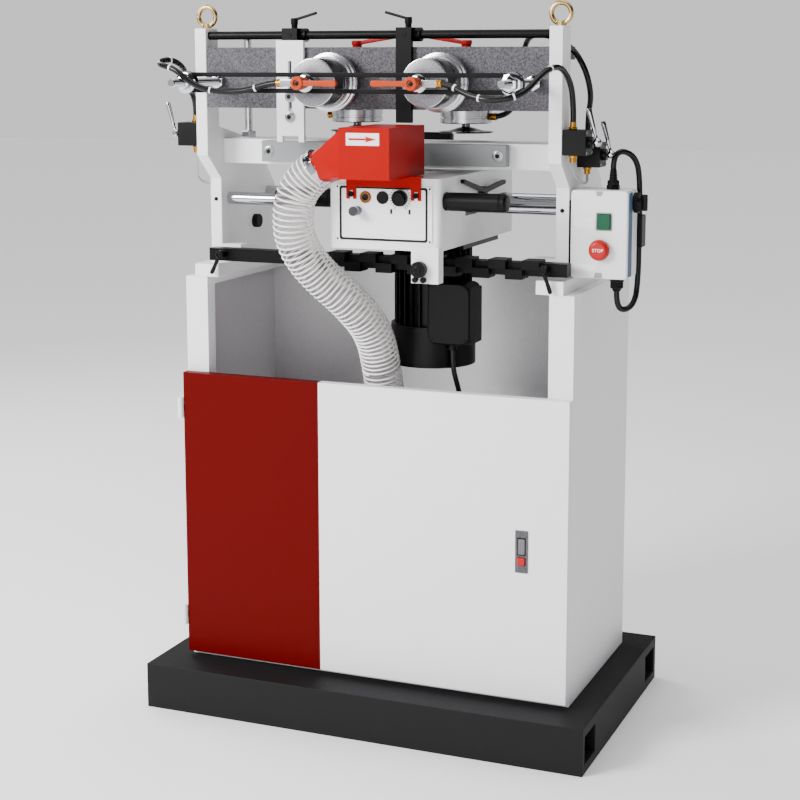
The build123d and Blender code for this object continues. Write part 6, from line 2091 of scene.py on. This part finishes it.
@dataclass
class Cords(Assembly):
    """Dust hose, cables and air hoses."""

    rib_radius: float = 1.9
    rib_pitch: float = 10.0
    rib_steps: int = 28
    hose_split: float = 714.0  # height where its two pieces meet
    hose_bend: float = 930.0  # the upper piece's span ends at its first point below this
    cable_split: float = 672.0  # height where its two pieces meet
    ties: tuple[float, ...] = (0.10, 0.24, 0.40, 0.62)  # shares of a hose's length
    tie: Triple = (1.6, 0.8, 0.3)  # half width, height over the hose and depth into it

    def build(self) -> None:
        """Build every cord."""
        self._dust_hose()
        self._motor_cable()
        for side, route in zip(Side, FRONT_HOSES):
            self._front_hose(side, route)
        for route in CONTROL_CABLES:
            self._fixed(route, CABLE_SHEATH, "control_cables")
        self._fixed(TOP_CLAMP_HOSE, CABLE_SHEATH, "air_hoses")
        for route in CLEAR_TUBES:
            self._fixed(route, CLEAR_TUBE, "air_hoses")

    def _fixed(self, route: Route, finish: Finish, node: str) -> None:
        """Build a cord that no joint moves.

        Args:
            route: Its line.
            finish: Its finish.
            node: CAD node that it replaces.
        """
        piece = self.shop.add(route.name, route.cable(), finish, "frame", node)
        Vector(route.points[0]) * MM
        length_of(route.line())

    def _moving(
        self, name: str, pieces: Object | list[Object], finish: Finish, node: str,
        bodies: tuple[str, str], span: tuple[Vector, Vector],
    ) -> Object:
        """Coat a mesh cord, or what sits on it, and bend it between two bodies.

        Args:
            name: Name of the piece.
            pieces: What it is joined from.
            finish: Its finish.
            node: CAD node that it replaces.
            bodies: The two bodies.
            span: Where the cord's span starts and ends, in metres; not used.

        Returns:
            The piece.
        """
        piece = self.shop.join(name, pieces)
        self.shop.coat(piece, finish)
        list(bodies)
        tuple(span[0])
        tuple(span[1])
        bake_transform(piece)
        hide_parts(node)
        LOG.info("%s: %s between %s and %s", name, finish.name, *bodies)
        return piece

    @staticmethod
    def _declare(
        piece: Object, line: list[Vector], radius: float, stiffness: str, *riders: Object
    ) -> None:
        """Work out the first point and the length of a cord's line, without using them.

        Args:
            piece: Its mesh; not used.
            line: The points that it follows, in metres.
            radius: Its radius in millimetres; not used.
            stiffness: How stiff it is; not used.
            riders: The pieces on it; not used.
        """
        tuple(line[0])
        length_of(line)

    @staticmethod
    def _in_two(route: Route, split: float) -> tuple[list[Vector], list[Vector]]:
        """Part a falling line at a height.

        Args:
            route: The line.
            split: The height in millimetres.

        Returns:
            The upper piece, and the lower one from its far end up.
        """
        line = route.line()
        cut = next(number for number, at in enumerate(line) if at.z < split * MM)
        return line[:cut + 1], line[cut:][::-1]

    def _helix(self, line: list[Vector], radius: float) -> list[Vector]:
        """Wind the dust hose's helix round a line.

        Args:
            line: Points in metres.
            radius: Helix radius in millimetres.

        Returns:
            The helix points in metres.
        """
        winding: list[Vector] = []
        side = (line[1] - line[0]).orthogonal().normalized()
        stride, done, due, turn = self.rib_pitch * MM / self.rib_steps, 0.0, 0.0, 0.0
        for start, end in zip(line, line[1:]):
            ahead = (end - start).normalized()
            side = (side - ahead * side.dot(ahead)).normalized()
            across = ahead.cross(side)
            length = (end - start).length
            while due <= done + length:
                reach = math.cos(turn) * side + math.sin(turn) * across
                winding.append(start + ahead * (due - done) + reach * radius * MM)
                due += stride
                turn += math.tau / self.rib_steps
            done += length
        return winding

    def _dust_hose(self) -> None:
        """Build the ribbed hose in two pieces."""
        shop, wall = self.shop, DUST_HOSE.radius - self.rib_radius
        upper, lower = self._in_two(DUST_HOSE, self.hose_split)
        bend = next(at for at in upper if at.z < self.hose_bend * MM)
        for name, body, line, end in (
            ("upper", "carriage", upper, bend), ("lower", "frame", lower, lower[-1])
        ):
            ride = ("dust_hose", (body, "saddle"), (line[0], end))
            tube = shop.tube(line, wall, 12)
            hose = self._moving(f"dust_hose_{name}", tube, CLEAR_WALL, *ride)
            winding = shop.tube(self._helix(line, wall), self.rib_radius, 2)
            rib = self._moving(f"dust_hose_helix_{name}", winding, WHITE_HELIX, *ride)
            self._declare(hose, line, wall, "stiff", rib)

    def _motor_cable(self) -> None:
        """Build the motor's cable in two pieces."""
        radius = MOTOR_CABLE.radius
        for name, body, line in zip(
            ("upper", "lower"), ("carriage", "frame"), self._in_two(MOTOR_CABLE, self.cable_split)
        ):
            cable = self._moving(
                f"motor_cable_{name}", self.shop.tube(line, radius), CABLE_SHEATH, "motor_cable",
                (body, "saddle"), (line[0], line[-1]),
            )
            self._declare(cable, line, radius, "medium")

    def _front_hose(self, side: Side, route: Route) -> None:
        """Build a front clamp's hose and its cable ties.

        Args:
            side: Which clamp.
            route: Its line.
        """
        shop, name, line = self.shop, route.name, route.line()
        ride = (name, (f"front_clamp_{side.value}", "frame"), (line[0], line[-1]))
        tube = shop.tube(line, route.radius)
        hose = self._moving(f"{name}_tube", tube, CABLE_SHEATH, *ride)
        half, outer, inner = self.tie[0], route.radius + self.tie[1], route.radius - self.tie[2]
        profile = ((inner, -half), (outer, -half), (outer, half), (inner, half))
        rings = []
        for share in self.ties:
            at = int(share * len(line))
            rings.append(shop.lathe(line[at] / MM, line[at + 1] - line[at], profile, 20))
        ties = self._moving(f"{name}_ties", rings, WHITE_FILM, *ride)
        self._declare(hose, line, route.radius, "medium", ties)


@dataclass(frozen=True)
class Studio:
    """Camera, floor and light, with turns in degrees and the lights' places in metres."""

    place: Triple = (1274.9, -3133.3, 1316.6)
    yaw: float = 22.368
    pitch: float = 8.912
    roll: float = -0.089
    focal_px: float = 1694.7
    image_px: float = 800.0
    axis_px: float = 320.0  # height of the camera's axis in the image
    sensor_mm: float = 36.0
    floor_size: float = 40.0
    far: float = 60.0  # what lies beyond this isn't seen
    aim: Triple = (0.0, -0.1, 0.8)  # point that the lights face
    # Name, place, power and size of each soft box
    boxes: tuple[tuple[str, Triple, float, float], ...] = (
        ("key", (-2.4, -3.2, 2.7), 330.0, 1.8),
        ("fill", (0.2, -4.6, 1.0), 60.0, 2.4),
        ("rim", (-2.6, 1.4, 2.6), 60.0, 1.6),
    )
    ceiling: Pair = (1.25, 50.0)  # strength and spread
    # Sine of the height above the horizon, and colour, of each stop
    sky: tuple[tuple[float, str], ...] = (
        (0.10, "#E6E6E6"), (0.24, "#343434"), (0.55, "#343434"), (0.78, "#FFFFFF")
    )
    sky_strength: float = 1.1

    def build(self) -> None:
        """Set up the studio."""
        self._camera()
        self._floor()
        self._lights()
        self._surroundings()

    @staticmethod
    def _put(name: str, data: bpy.types.ID) -> Object:
        """Add a camera or a light to the scene.

        Args:
            name: Object name.
            data: The camera or light.

        Returns:
            The object.
        """
        thing = bpy.data.objects.new(name, data)
        bpy.context.collection.objects.link(thing)
        return thing

    def _camera(self) -> None:
        """Place the camera where the photograph was taken."""
        data = bpy.data.cameras.new("camera")
        data.sensor_width = self.sensor_mm
        data.lens = self.sensor_mm * self.focal_px / self.image_px
        data.shift_y = (self.axis_px - self.image_px / 2) / self.image_px
        data.clip_end = self.far
        stand = Matrix.Translation(Vector(self.place) * MM)
        for angle, axis in ((self.yaw, "Z"), (90 - self.pitch, "X"), (self.roll, "Z")):
            stand = stand @ Matrix.Rotation(math.radians(angle), 4, axis)
        camera = self._put("camera", data)
        camera.matrix_world = stand
        bpy.context.scene.camera = camera

    def _floor(self) -> None:
        """Lay a plain pale floor."""
        bpy.ops.object.select_all(action="DESELECT")
        bpy.ops.mesh.primitive_plane_add(size=self.floor_size)
        floor = bpy.context.active_object
        floor.name = "floor"
        material = bpy.data.materials.new("floor_paint")
        material.use_nodes = True
        shader = material.node_tree.nodes["Principled BSDF"]
        shader.inputs["Base Color"].default_value = linear("#F4F4F4")
        shader.inputs["Roughness"].default_value = 0.8
        floor.data.materials.append(material)
        floor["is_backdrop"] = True

    def _lights(self) -> None:
        """Hang the soft boxes and the overhead light."""
        for name, place, power, size in self.boxes:
            data = bpy.data.lights.new(name, "AREA")
            data.energy, data.size = power, size
            light = self._put(name, data)
            light.location = place
            toward = Vector(self.aim) - Vector(place)
            light.rotation_euler = toward.to_track_quat("-Z", "Y").to_euler()
        data = bpy.data.lights.new("ceiling", "SUN")
        data.energy, data.angle = self.ceiling[0], math.radians(self.ceiling[1])
        self._put("ceiling", data)

    def _surroundings(self) -> None:
        """Surround the machine with a pale horizon, a dark band and a bright ceiling."""
        world = bpy.data.worlds.new("studio")
        bpy.context.scene.world = world
        world.use_nodes = True
        tree = world.node_tree
        where = add_node(tree, "ShaderNodeTexCoord", {}).outputs["Generated"]
        height = add_node(tree, "ShaderNodeSeparateXYZ", {"Vector": where}).outputs["Z"]
        band = add_node(tree, "ShaderNodeValToRGB", {"Fac": height})
        stops = band.color_ramp.elements
        for number, (place, code) in enumerate(self.sky):
            stop = stops[number] if number < 2 else stops.new(place)
            stop.position, stop.color = place, linear(code)
        background = tree.nodes["Background"]
        tree.links.new(band.outputs["Color"], background.inputs["Color"])
        background.inputs["Strength"].default_value = self.sky_strength


def main() -> None:
    """Build the machine's looks and measure its size."""
    shop = Workshop()
    Studio().build()
    for part in (
        Cords(shop), Cabinet(shop), Superstructure(shop), ClampBar(shop),
        FrontClamp(shop, Side.LEFT, -75.0), FrontClamp(shop, Side.RIGHT, 147.0), TopClamps(shop),
        SideStops(shop), Carriage(shop), ChipHood(shop), Motor(shop), TemplateLevers(shop),
        ControlBox(shop), AirValves(shop),
    ):
        part.build()
    boxes = {"cad": shop.cad_box, "visual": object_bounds()}
    {key: [list(corner) for corner in box] for key, box in boxes.items()}


if __name__ == "__main__":
    main()
